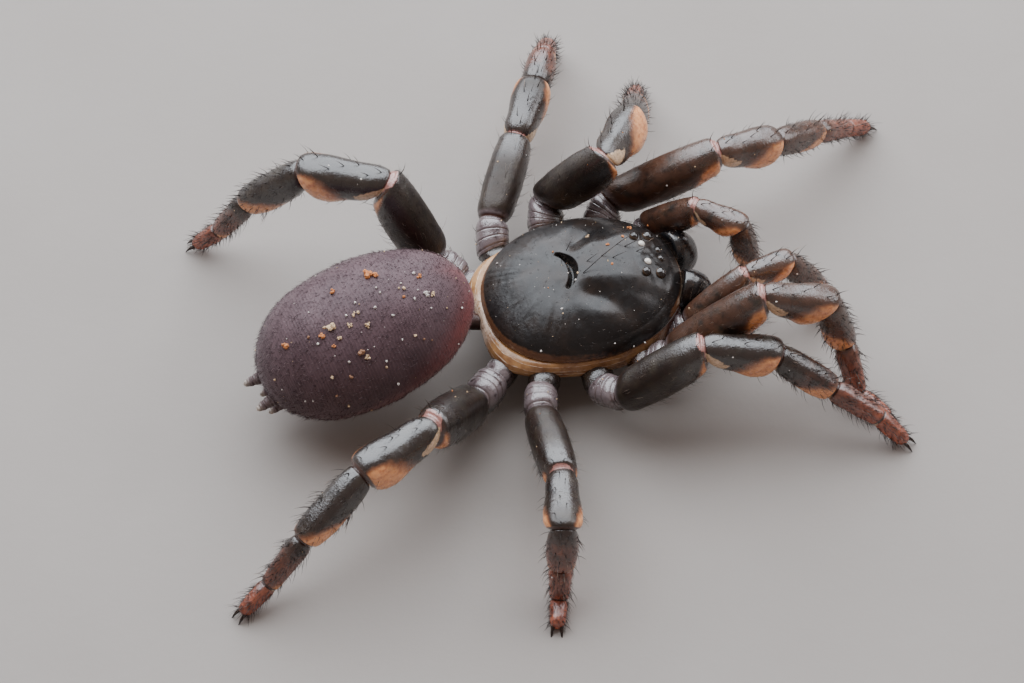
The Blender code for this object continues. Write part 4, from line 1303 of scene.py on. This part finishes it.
# Muscle marks on one side of the breastplate: places ahead and beside its middle, and their size
MUSCLE_MARKS = ((1.0, 0.55), (0.3, 0.8), (-0.55, 0.72))
MUSCLE_MARK_SIZE = 0.012
MUSCLE_MARK_DEPTH = 0.05


def breastplate(material):
    """Plate between the hips, slightly domed below, with shallow muscle marks."""
    angle = round_angles(120)
    top = CARAPACE_UNDERSIDE - JOINT_GAP
    rings = []
    for share in np.linspace(0.02, 1.0, 34):
        dome = (1 - share ** 3) ** 0.5
        ahead = STERNUM_LENGTH / 2 * share * np.cos(angle)
        left = np.abs(STERNUM_WIDTH / 2 * share * np.sin(angle))
        marks = sum(np.exp(-((ahead - a) ** 2 + (left - b) ** 2) / MUSCLE_MARK_SIZE) for a, b in MUSCLE_MARKS)
        height = STERNUM_BOTTOM + 0.3 * (1 - dome) + MUSCLE_MARK_DEPTH * marks
        rings.append(sternum_edge(angle, share, height))
    for share, height in ((1.0, STERNUM_BOTTOM + 0.5), (1.0, top - 0.1), (0.9, top)):
        rings.append(sternum_edge(angle, share, height))
    piece = tube_piece("breastplate", np.array(rings), material)
    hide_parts("sternum")


def rounded(name, centre, radii, material, turn, power, rows, columns, shape=None, marks=None):
    """Closed rounded body about a centre, from rings along its own X."""
    along = np.cos(np.linspace(0, math.pi, rows + 2))[1:-1, None]
    angle = round_angles(columns)[None, :]
    across = np.sqrt(1 - along ** 2) ** power
    sideways, upward = across * radii[1] * np.cos(angle), across * radii[2] * np.sin(angle)
    points = np.asarray(centre) + np.stack((along * radii[0] + angle * 0, sideways, upward), -1) @ turn.T
    if shape is not None:
        points = shape(points)
    return tube_piece(name, points, material, marks)


def axis_turn(axis, degrees):
    """Matrix that turns points about Z or Y."""
    angle = math.radians(degrees)
    cosine, sine = math.cos(angle), math.sin(angle)
    if axis == "Z":
        return np.array(((cosine, -sine, 0), (sine, cosine, 0), (0, 0, 1)))
    return np.array(((cosine, 0, sine), (0, 1, 0), (-sine, 0, cosine)))


def lip(material):
    """Lip plate in front of the breastplate."""
    ahead = STERNUM_LENGTH / 2 - STERNUM_SET_BACK + JOINT_GAP + LABIUM_SIZE[0] / 2
    centre = body_point(ahead, 0, STERNUM_BOTTOM + 0.45)
    half = [size / 2 for size in LABIUM_SIZE]
    piece = rounded("lip", centre, half, material, axis_turn("Z", BODY_HEADING), 0.9, 30, 40)
    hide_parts("labium")


# How the jaws' tops rise in front of the carapace's edge
JAW_RISE_OVER = 0.11
JAW_LOWEST_TOP = 1.86
JAW_RISE = 0.66
JAW_SOFTNESS = 0.05
JAW_ROUNDNESS = 0.92
JAW_LUMPS = 0.02

# Fangs: place from the jaw's middle, length, thickness, and droop and curl in degrees
FANG_AHEAD = 0.25
FANG_DROP = 0.10
FANG_LENGTH = 1.0
FANG_THICKNESS = 0.36
FANG_DROOP = 4.0
FANG_CURL = 34.0


def under_carapace(points):
    """Points lowered clear of the carapace's front edge, free again a little way in front of it."""
    turn = math.radians(-BODY_HEADING)
    ahead = points[..., 0] * math.cos(turn) - points[..., 1] * math.sin(turn)
    left = points[..., 0] * math.sin(turn) + points[..., 1] * math.cos(turn)
    reach = np.clip((np.hypot(ahead, left) - edge_distance(ahead, left)) / JAW_RISE_OVER, 0, 1)
    limit = JAW_LOWEST_TOP + JAW_RISE * np.sqrt(1 - (1 - reach) ** 2)
    points = points.copy()
    gap = (points[..., 2] - limit) / JAW_SOFTNESS
    points[..., 2] = limit - JAW_SOFTNESS * np.log1p(np.exp(-np.clip(gap, -40, 40)))
    return points


def jaws(material, hook_material):
    """Two glossy jaws under the front edge, each with its fang folded back."""
    turn = axis_turn("Z", BODY_HEADING) @ axis_turn("Y", -CHELICERA_PITCH)
    ahead, out, height = CHELICERA_CENTRE
    for side, mirror in (("left", 1), ("right", -1)):
        centre = body_point(ahead, out * mirror, height)

        def shape(points):
            bumps = noise_at(points, 0.5, 8.0 + mirror)[..., None] * JAW_LUMPS
            outward = points - centre
            outward = outward / np.linalg.norm(outward, axis=-1, keepdims=True)
            return under_carapace(points + outward * bumps)

        jaw = rounded(f"jaw_{side}", centre, CHELICERA_RADII, material, turn, JAW_ROUNDNESS, 70, 90, shape)
        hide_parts(f"chelicera_{side}")
        root_height = height - CHELICERA_RADII[2] - JOINT_GAP * 0.75 - FANG_DROP
        root = body_point(ahead + FANG_AHEAD, out * mirror, root_height)
        back, sideways = turned(BODY_HEADING + 180, 0), body_point(0, 1, 0)
        rings = hook(root, back, sideways, FANG_LENGTH, FANG_THICKNESS, FANG_DROOP, FANG_CURL, 26, 20)
        fang = tube_piece(f"fang_hook_{side}", rings, hook_material)
        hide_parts(f"fang_{side}")


LENS_ROWS = 24
LENS_COLUMNS = 40
LENS_FLATNESS = 0.92
LENS_RISE = 0.15


def eyes(pearl, dark):
    """Eight lenses, each a dome with a rim of another colour."""
    marks = {"edge": 1 - step_up(np.cos(np.linspace(0, math.pi, LENS_ROWS + 2))[1:-1, None], 0.25, 0.62)}
    for label, (ahead, out, radius) in EYES.items():
        material = pearl if label == "rear_middle" else dark
        for side, mirror in (("left", 1), ("right", -1)):
            height = carapace_height(ahead, out * mirror)
            centre = body_point(ahead, out * mirror, height + radius * LENS_RISE)
            normal = carapace_outward(ahead, out * mirror, 0.02)
            across = unit(np.cross(normal, (0, 1, 0)))
            turn = np.stack((normal, across, np.cross(normal, across)), 1)
            radii = (radius * LENS_FLATNESS, radius, radius)
            name = f"lens_{label}_{side}"
            lens = rounded(name, centre, radii, material, turn, 1.0, LENS_ROWS, LENS_COLUMNS, marks=marks)
            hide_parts(f"eye_{label}_{side}")


# Long hairs of the head: place ahead and left of the carapace's middle, length, heading and rise
LONG_HAIRS = (
    (-0.08, -0.30, 1.6, 12, 32), (0.52, 0.06, 1.1, 8, 36), (1.03, 0.36, 0.7, 8, 38),
    (1.20, 0.25, 0.9, 6, 30), (-0.30, 0.55, 0.4, 30, 45), (0.10, 0.02, 0.5, 0, 40),
    (0.80, -0.05, 0.5, -10, 42), (1.45, 0.04, 0.55, 4, 40), (1.95, 0.0, 0.45, 0, 40),
    (2.2, 0.35, 0.5, 12, 30), (2.25, -0.32, 0.5, -12, 30), (2.35, 0.0, 0.55, 0, 22),
    (1.85, 0.35, 0.3, 20, 50), (1.85, -0.35, 0.3, -20, 50), (2.4, 0.7, 0.45, 15, 25),
    (2.35, -0.75, 0.45, -15, 25),
)
LONG_HAIR_WIDTH = 0.026
SHORT_HAIRS = 520
SHORT_HAIR_WIDTH = 0.010


def head_bristles(material):
    """Long hairs along the middle of the head and over the eyes, and short ones all over the shell."""
    table = np.array(LONG_HAIRS)
    count = SHORT_HAIRS
    angle = RANDOM.uniform(0, 2 * math.pi, count)
    at_edge = RANDOM.random(count) < 0.5
    share = np.where(at_edge, RANDOM.uniform(0.86, 0.995, count), RANDOM.uniform(0.1, 0.9, count))
    edge = carapace_outline(angle)
    ahead = np.concatenate((table[:, 0], edge[0] * share))
    left = np.concatenate((table[:, 1], edge[1] * share))
    roots = body_point(ahead, left, carapace_height(ahead, left))
    heading = np.concatenate((table[:, 3], RANDOM.normal(0, 40, count)))
    leans = np.stack([turned(BODY_HEADING + h, 0) for h in heading])
    lengths = np.concatenate((table[:, 2], RANDOM.uniform(0.05, 0.13, count)))
    widths = np.concatenate((np.full(len(table), LONG_HAIR_WIDTH), np.full(count, SHORT_HAIR_WIDTH)))
    rises = np.concatenate((table[:, 4], RANDOM.uniform(12, 40, count)))
    spots = 0.5 + np.stack((ahead / CARAPACE_LENGTH, left / CARAPACE_WIDTH), 1) * 0.98
    outs = carapace_outward(ahead, left)
    bristles("head_bristles", roots, outs, leans, lengths, widths, rises, spots, material, 0.12)


# Rear body

ABDOMEN_HALF = np.array((ABDOMEN_LENGTH, ABDOMEN_WIDTH, ABDOMEN_HEIGHT)) / 2
ABDOMEN_TURN = axis_turn("Z", ABDOMEN_BEND) @ axis_turn("Y", -ABDOMEN_DROOP)
ABDOMEN_ROUNDNESS = 0.94
ABDOMEN_EGG = 0.05
ABDOMEN_SINK = 0.05
ABDOMEN_LOWEST = 0.25

# Lung covers under the abdomen: shares of its length, size along it, and place and size round it in radians
LUNG_SHARES = (0.66, 0.78)
LUNG_LENGTH = 0.045
LUNG_PLACE = 0.55
LUNG_SPAN = 0.33

# Velvet of the abdomen
VELVET_COUNT = 12500
VELVET_WIDTH = 0.011
VELVET_LOWEST = 0.32


def abdomen_surface(share, angle):
    """Points on the plain abdomen at shares of its length from the rear, and their outward directions."""
    share, angle = np.broadcast_arrays(np.asarray(share, float), np.asarray(angle, float))
    along = -np.cos(math.pi * share)
    across = np.sqrt(np.maximum(0.0, 1 - along * along)) ** ABDOMEN_ROUNDNESS
    egg = 1 - ABDOMEN_EGG * along
    length, width, height = ABDOMEN_HALF
    sideways, upward = width * across * egg * np.cos(angle), height * across * egg * np.sin(angle)
    local = np.stack((length * along, sideways, upward), -1)
    out = local / ABDOMEN_HALF ** 2
    out = out / np.linalg.norm(out, axis=-1, keepdims=True)
    return np.array(ABDOMEN_CENTRE) + local @ ABDOMEN_TURN.T, out @ ABDOMEN_TURN.T


def abdomen_dent(points):
    """How far the skin stands out from the plain abdomen."""
    return lumps(points, (1.6, 11.0, 0.07), (0.5, 12.0, 0.007))


def abdomen_warmth(share, angle):
    """How maroon the abdomen is: more towards the front and underneath."""
    below = -0.35 * np.abs(np.cos(angle)) - 0.75 * np.sin(angle)
    return step_up(below + 1.5 * (share - 0.5), -0.45, 0.12)


def abdomen(material):
    """Soft egg-shaped rear body with fine cross folds and two pairs of lung covers below."""
    share = np.linspace(0, 1, 192)[1:-1, None]
    angle = round_angles(220)[None, :]
    points, out = abdomen_surface(share, angle)
    points = points + out * (abdomen_dent(points) - ABDOMEN_SINK)[..., None]
    points[..., 2] = np.maximum(points[..., 2], ABDOMEN_LOWEST)
    lung = 0
    for at in LUNG_SHARES:
        for mirror in (-1, 1):
            around = (angle - 3 * math.pi / 2 - mirror * LUNG_PLACE) / LUNG_SPAN
            lung = lung + np.exp(-(((share - at) / LUNG_LENGTH) ** 2 + around ** 2) ** 2)
    marks = {"warm": abdomen_warmth(share, angle), "fold": share, "lung": np.clip(lung, 0, 1)}
    piece = tube_piece("abdomen_skin", points, material, marks)
    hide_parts("abdomen")


def abdomen_hairs(material):
    """Short velvety hairs all over the abdomen, swept back, longer at its rear."""
    count = VELVET_COUNT
    along = RANDOM.uniform(-0.995, 0.985, count)
    share = np.arccos(-along) / math.pi
    angle = RANDOM.uniform(0, 2 * math.pi, count)
    points, outs = abdomen_surface(share, angle)
    roots = points + outs * (abdomen_dent(points) - ABDOMEN_SINK)[:, None]
    leans = RANDOM.normal(0, 0.35, (count, 3)) - axis_turn("Z", ABDOMEN_BEND)[:, 0]
    lengths = RANDOM.uniform(0.07, 0.15, count) + 0.12 * (1 - share) ** 2 * RANDOM.random(count)
    lengths = lengths + (RANDOM.random(count) < 0.03) * 0.12
    rises = RANDOM.normal(38, 12, count)
    spots = np.stack((angle / (2 * math.pi), share), 1)
    values = (roots, outs, leans, lengths, np.full(count, VELVET_WIDTH), rises, spots)
    keep = roots[:, 2] > VELVET_LOWEST
    piece = bristles("abdomen_hairs", *[v[keep] for v in values], material, 0.3, "velvet_abdomen")
    warm = np.repeat(abdomen_warmth(share, angle)[keep], BRISTLE_POINTS).astype(np.float32)
    piece.data.attributes.new("warm", "FLOAT", "POINT").data.foreach_set("value", warm)


# Grains of soil on the abdomen: pixel across and down in the photo, size in millimetres and kind
ABDOMEN_CRUMBS = (
    (367, 273, 0.120, "orange"), (375, 275, 0.080, "orange"), (333, 291, 0.060, "orange"),
    (286, 348, 0.085, "orange"), (420, 274, 0.055, "orange"), (434, 293, 0.050, "cream"),
    (404, 296, 0.045, "orange"), (334, 347, 0.050, "orange"), (376, 287, 0.030, "white"),
    (380, 292, 0.040, "white"), (414, 271, 0.040, "white"), (401, 282, 0.028, "white"),
    (427, 293, 0.065, "white"), (415, 298, 0.045, "white"), (375, 307, 0.036, "white"),
    (355, 302, 0.028, "white"), (346, 315, 0.036, "white"), (353, 314, 0.050, "cream"),
    (358, 312, 0.045, "cream"), (393, 315, 0.034, "white"), (399, 287, 0.045, "cream"),
    (404, 287, 0.045, "cream"), (330, 328, 0.105, "cream"), (323, 336, 0.070, "orange"),
    (339, 338, 0.055, "cream"), (349, 326, 0.055, "cream"), (368, 324, 0.062, "cream"),
    (318, 344, 0.034, "white"), (362, 353, 0.090, "brown"), (367, 357, 0.060, "cream"),
    (403, 340, 0.034, "white"), (332, 377, 0.040, "cream"), (351, 377, 0.050, "brown"),
    (309, 338, 0.040, "brown"), (432, 308, 0.030, "white"), (448, 308, 0.034, "cream"),
    (349, 362, 0.030, "white"), (387, 362, 0.040, "white"), (387, 368, 0.045, "cream"),
    (399, 385, 0.028, "white"), (274, 380, 0.036, "cream"), (281, 389, 0.030, "white"),
    (304, 400, 0.028, "white"), (312, 400, 0.028, "white"), (348, 405, 0.028, "cream"),
    (336, 395, 0.036, "brown"), (416, 336, 0.030, "cream"), (463, 308, 0.028, "white"),
    (425, 340, 0.030, "brown"), (433, 341, 0.030, "brown"),
)

# Grains on the carapace: ahead and left of its middle, size in millimetres and kind
CARAPACE_CRUMBS = (
    (0.44, 0.99, 0.050, "cream"), (-0.45, -0.15, 0.024, "white"), (-0.44, -0.41, 0.022, "white"),
    (-1.06, -0.36, 0.032, "orange"), (-0.89, -1.08, 0.024, "white"), (-0.90, -1.21, 0.030, "cream"),
    (-0.53, -1.46, 0.022, "white"), (-1.66, -1.77, 0.030, "white"), (0.79, -2.17, 0.030, "white"),
    (1.10, -2.15, 0.024, "white"), (0.27, -2.13, 0.024, "white"), (0.74, -0.25, 0.040, "orange"),
    (0.80, 0.40, 0.050, "orange"), (1.30, 0.62, 0.040, "orange"), (0.66, -0.13, 0.026, "cream"),
    (-2.02, 1.21, 0.034, "white"), (-0.36, 0.36, 0.036, "orange"), (-0.20, -0.22, 0.034, "cream"),
    (-0.30, -0.38, 0.036, "white"), (-0.62, 0.70, 0.030, "orange"), (1.62, 1.05, 0.070, "orange"),
)
CRUMB_KINDS = {"orange": 0.12, "cream": 0.37, "white": 0.62, "brown": 0.87}
FINE_CRUMBS = 60
LIMB_CRUMBS = 9
CRUMB_SUNK = 0.02

# Grains from this size up are clusters: of how many grains, and how big and how spread those are
CLUSTER_FROM = 0.05
CLUSTER_COUNT = 7
CLUSTER_SHARE = 0.55
GRAIN_ROWS = 5
GRAIN_COLUMNS = 8


def abdomen_seen_at(across, down):
    """Place on the abdomen, as a share and an angle, that the photo shows at a pixel."""
    right, up, forward, eye = view_axes()
    scale = PHOTO_ACROSS * VIEW_DISTANCE / VIEW_WIDTH
    ray = forward + right * (across - PHOTO_ACROSS / 2) / scale - up * (down - PHOTO_DOWN / 2) / scale
    start = (eye - ABDOMEN_CENTRE) @ ABDOMEN_TURN / ABDOMEN_HALF
    ray = ray @ ABDOMEN_TURN / ABDOMEN_HALF
    middle = start @ ray
    reach = (-middle - math.sqrt(max(0.0, middle ** 2 - (ray @ ray) * (start @ start - 1)))) / (ray @ ray)
    place = unit(start + ray * reach)
    return math.acos(-place[0]) / math.pi, math.atan2(place[2], place[1])


def carapace_spot(ahead, left):
    """Point on the finished carapace and its outward direction."""
    share = np.hypot(ahead, left) / edge_distance(ahead, left)
    depth, _ = carapace_relief(np.atleast_1d(ahead), np.atleast_1d(left), np.atleast_1d(share))
    height = carapace_height(ahead, left) - depth[0] * min(1.0, (1 - share) * EDGE_FADE)
    return body_point(ahead, left, height), carapace_outward(ahead, left)


def crumb_places(limbs):
    """Centre, outward direction, size and kind of each grain on the abdomen, the carapace and the limbs."""
    grains = []
    for across, down, size, kind in ABDOMEN_CRUMBS:
        point, out = abdomen_surface(*abdomen_seen_at(across, down))
        grains.append((point + out * (abdomen_dent(point) - CRUMB_SUNK), out, size, CRUMB_KINDS[kind]))
    for _ in range(FINE_CRUMBS):
        point, out = abdomen_surface(RANDOM.uniform(0.1, 0.95), RANDOM.uniform(0.2, 4.0))
        point = point + out * (abdomen_dent(point) - CRUMB_SUNK)
        grains.append((point, out, RANDOM.uniform(0.008, 0.020), RANDOM.uniform(0.3, 0.74)))
    for ahead, left, size, kind in CARAPACE_CRUMBS:
        grains.append((*carapace_spot(ahead, left), size, CRUMB_KINDS[kind]))
    for _ in range(FINE_CRUMBS):
        around, share = RANDOM.uniform(0, 2 * math.pi), math.sqrt(RANDOM.uniform(0.02, 0.9))
        ahead, left = carapace_outline(np.array(around))
        spot = carapace_spot(float(ahead * share), float(left * share))
        grains.append((*spot, RANDOM.uniform(0.006, 0.014), RANDOM.uniform(0.3, 0.74)))
    for limb in limbs:
        for _ in range(LIMB_CRUMBS):
            index = int(RANDOM.integers(1, len(limb.parts) - 1))
            spot = limb.surface(index, RANDOM.uniform(0.1, 0.9), math.radians(RANDOM.uniform(-20, 200)))
            grains.append((*spot, RANDOM.uniform(0.010, 0.024), RANDOM.uniform(0.1, 0.74)))
    return grains


def crumbs(limbs, material):
    """Grains of soil that cling to the abdomen, the carapace and the upper side of the limbs."""
    turn = round_angles(GRAIN_COLUMNS)[None, :]
    rise = np.linspace(-math.pi / 2, math.pi / 2, GRAIN_ROWS + 2)[1:-1, None]
    ball = np.stack((np.cos(rise) * np.cos(turn), np.cos(rise) * np.sin(turn), np.sin(rise) + turn * 0), -1)
    count = GRAIN_ROWS * GRAIN_COLUMNS + 2
    all_points, faces, own = [], [], []
    for centre, out, size, kind in crumb_places(limbs):
        clustered = size >= CLUSTER_FROM
        for number in range(CLUSTER_COUNT if clustered else 1):
            spread = RANDOM.normal(0, CLUSTER_SHARE * size, 3) if number else np.zeros(3)
            spread = spread - out * (spread @ out) * 0.6
            scale = size * (CLUSTER_SHARE if clustered else 1.0)
            scale = scale * RANDOM.uniform(0.7, 1.2) * RANDOM.uniform(0.7, 1.3, 3)
            rough = 1 + 0.55 * noise_at(ball * 1.5 + len(all_points) * 3.1, 1.0)[..., None]
            body = centre + spread + ball * rough * scale
            poles = centre + spread + np.array(((0, 0, -1), (0, 0, 1))) * scale
            faces += skin_faces(GRAIN_ROWS, GRAIN_COLUMNS, len(all_points) * count)
            all_points.append(np.concatenate((body.reshape(-1, 3), poles)))
            own.append(np.full(count, kind))
    marks = {"own": np.concatenate(own)}
    piece = mesh_piece("dust_crumbs", np.concatenate(all_points), faces, material, marks, smooth=False)


def straight_rings(start, end, profile, width, share, columns):
    """Rings of a tube of varying width between two points, at shares of its length."""
    along = unit(end - start)
    side = unit(np.cross(along, (0, 0, 1)))
    above = np.cross(side, along)
    angle = round_angles(columns)[None, :]
    half = smooth_curve(profile)(share) * width / 2
    offset = (half * np.cos(angle))[..., None] * side + (half * np.sin(angle))[..., None] * above
    return start + (end - start) * share[..., None] + offset


WAIST_PROFILE = ((0.0, 1.2), (0.15, 1.0), (0.5, 0.9), (0.85, 1.0), (1.0, 1.3))
WAIST_WIDTH = 0.5
WAIST_OVERLAP = 0.1

# Spinnerets: turn from the middle line, share of the abdomen's length and size
SPINNERETS = {
    "outer_left": (0.90, 0.07, 0.84),
    "outer_right": (-0.90, 0.07, 0.84),
    "inner_left": (0.30, 0.14, 0.72),
    "inner_right": (-0.30, 0.14, 0.72),
}
SPINNERET_PROFILE = (
    (0.0, 1.05), (0.2, 1.02), (0.42, 0.94), (0.47, 0.84), (0.62, 0.84), (0.72, 0.74), (0.77, 0.64),
    (0.9, 0.52), (1.0, 0.22),
)
SPINNERET_LENGTH = 0.34
SPINNERET_WIDTH = 0.38
SPINNERET_OVERLAP = 0.1


def waist(material):
    """Narrow stalk between the chest and the abdomen."""
    start = body_point(-STERNUM_LENGTH / 2 - STERNUM_SET_BACK, 0, COXA_HEIGHT)
    towards, _ = abdomen_surface(0.75, -math.pi / 2)
    end = towards + unit(towards - start) * WAIST_OVERLAP
    share = np.linspace(0, 1, 40)[:, None]
    piece = tube_piece("waist", straight_rings(start, end, WAIST_PROFILE, WAIST_WIDTH, share, 48), material)
    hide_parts("pedicel")


def spinnerets(material):
    """Four short spinnerets of three ringed joints each, pale at their tips."""
    share = np.linspace(0, 1, 60)[:, None]
    marks = {"tip": step_up(share, 0.6, 0.95), "fold": share}
    for label, (turn, place, size) in SPINNERETS.items():
        root, _ = abdomen_surface(place, -math.pi / 2 + turn)
        outward = unit(root - np.array(ABDOMEN_CENTRE))
        along = unit(outward + turned(ABDOMEN_BEND + 180, -10))
        start = root - outward * SPINNERET_OVERLAP
        end = root + outward * JOINT_GAP * 0.7 + along * SPINNERET_LENGTH * size
        rings = straight_rings(start, end, SPINNERET_PROFILE, SPINNERET_WIDTH * size, share, 40)
        piece = tube_piece("silk_spout_" + label, rings, material, marks)
        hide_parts("spinneret_" + label)


# Stage

# Lights that all face the spider: heading and height in degrees, width, height, power and colour
LIGHT_DISTANCE = 100.0
LIGHTS = {
    "key": (95.0, 52.0, 180.0, 150.0, 0.50, (0.87, 0.93, 1.0)),
    "side": (8.0, 30.0, 70.0, 50.0, 0.045, (0.95, 0.96, 1.0)),
}
FLOOR_HALF = 400.0
SURROUND = (1.0, 0.78, 0.69)
SURROUND_STRENGTH = 0.37


def stage():
    """Pale floor, one wide soft light beyond the spider, a smaller one ahead of it, and an even surround."""
    corners = ((-1, -1), (1, -1), (1, 1), (-1, 1))
    mesh = bpy.data.meshes.new("floor")
    mesh.from_pydata([(x * FLOOR_HALF * MM, y * FLOOR_HALF * MM, 0) for x, y in corners], [], [(0, 1, 2, 3)])
    mesh.materials.append(floor_material())
    floor = bpy.data.objects.new("floor", mesh)
    bpy.context.scene.collection.objects.link(floor)
    world = bpy.data.worlds.new("surround")
    world.use_nodes = True
    world.node_tree.nodes["Background"].inputs["Color"].default_value = (*SURROUND, 1)
    world.node_tree.nodes["Background"].inputs["Strength"].default_value = SURROUND_STRENGTH
    bpy.context.scene.world = world
    for name, (heading, height, wide, high, power, colour) in LIGHTS.items():
        place = turned(heading, height) * LIGHT_DISTANCE
        light = bpy.data.lights.new(name, "AREA")
        light.shape = "RECTANGLE"
        light.size = wide * MM
        light.size_y = high * MM
        light.energy = power
        light.color = colour
        lamp = bpy.data.objects.new(name, light)
        lamp.location = (place + SHIFT) * MM
        lamp.rotation_euler = (-Vector(place)).to_track_quat("-Z", "Y").to_euler()
        bpy.context.scene.collection.objects.link(lamp)


def camera():
    """The photo's view: from the spider's right, high above it."""
    right, up, forward, place = view_axes()
    data = bpy.data.cameras.new("camera")
    data.sensor_width = 36.0
    data.lens = 36.0 * VIEW_DISTANCE / VIEW_WIDTH
    data.clip_start = 0.005
    view = bpy.data.objects.new("camera", data)
    view.location = (place + SHIFT) * MM
    view.rotation_euler = Matrix(np.stack((right, up, -forward), 1).tolist()).to_euler()
    bpy.context.scene.collection.objects.link(view)
    bpy.context.scene.camera = view


def main():
    camera()
    shell = limb_material()
    horn = claw_material()
    plate = plate_material()
    hair = bristle_material("black_bristle", BRISTLE_ROOT, BRISTLE_TIP, BRISTLE_TAN, 0.10)
    velvet = bristle_material("velvet_hair", VELVET_ROOT, VELVET_TIP, VELVET_PALE, 0.14, 0.25, VELVET_MAROON)
    limbs = [Limb(kind, side) for side in ("left", "right") for kind in SEGMENT_LENGTHS]
    for limb in limbs:
        limb_skin(limb, shell)
        claws(limb, horn)
        limb_bristles(limb, hair)
    carapace(carapace_material())
    flank(membrane_material())
    breastplate(plate)
    lip(plate)
    jaws(jaw_material(), horn)
    eyes(eye_material("pearl_lens", PEARL, PEARL_RIM), eye_material("dark_lens", DARK_LENS, DARK_LENS_RIM))
    head_bristles(hair)
    abdomen(abdomen_material())
    abdomen_hairs(velvet)
    crumbs(limbs, speck_material())
    waist(plate)
    spinnerets(spinneret_material())
    stage()


main()
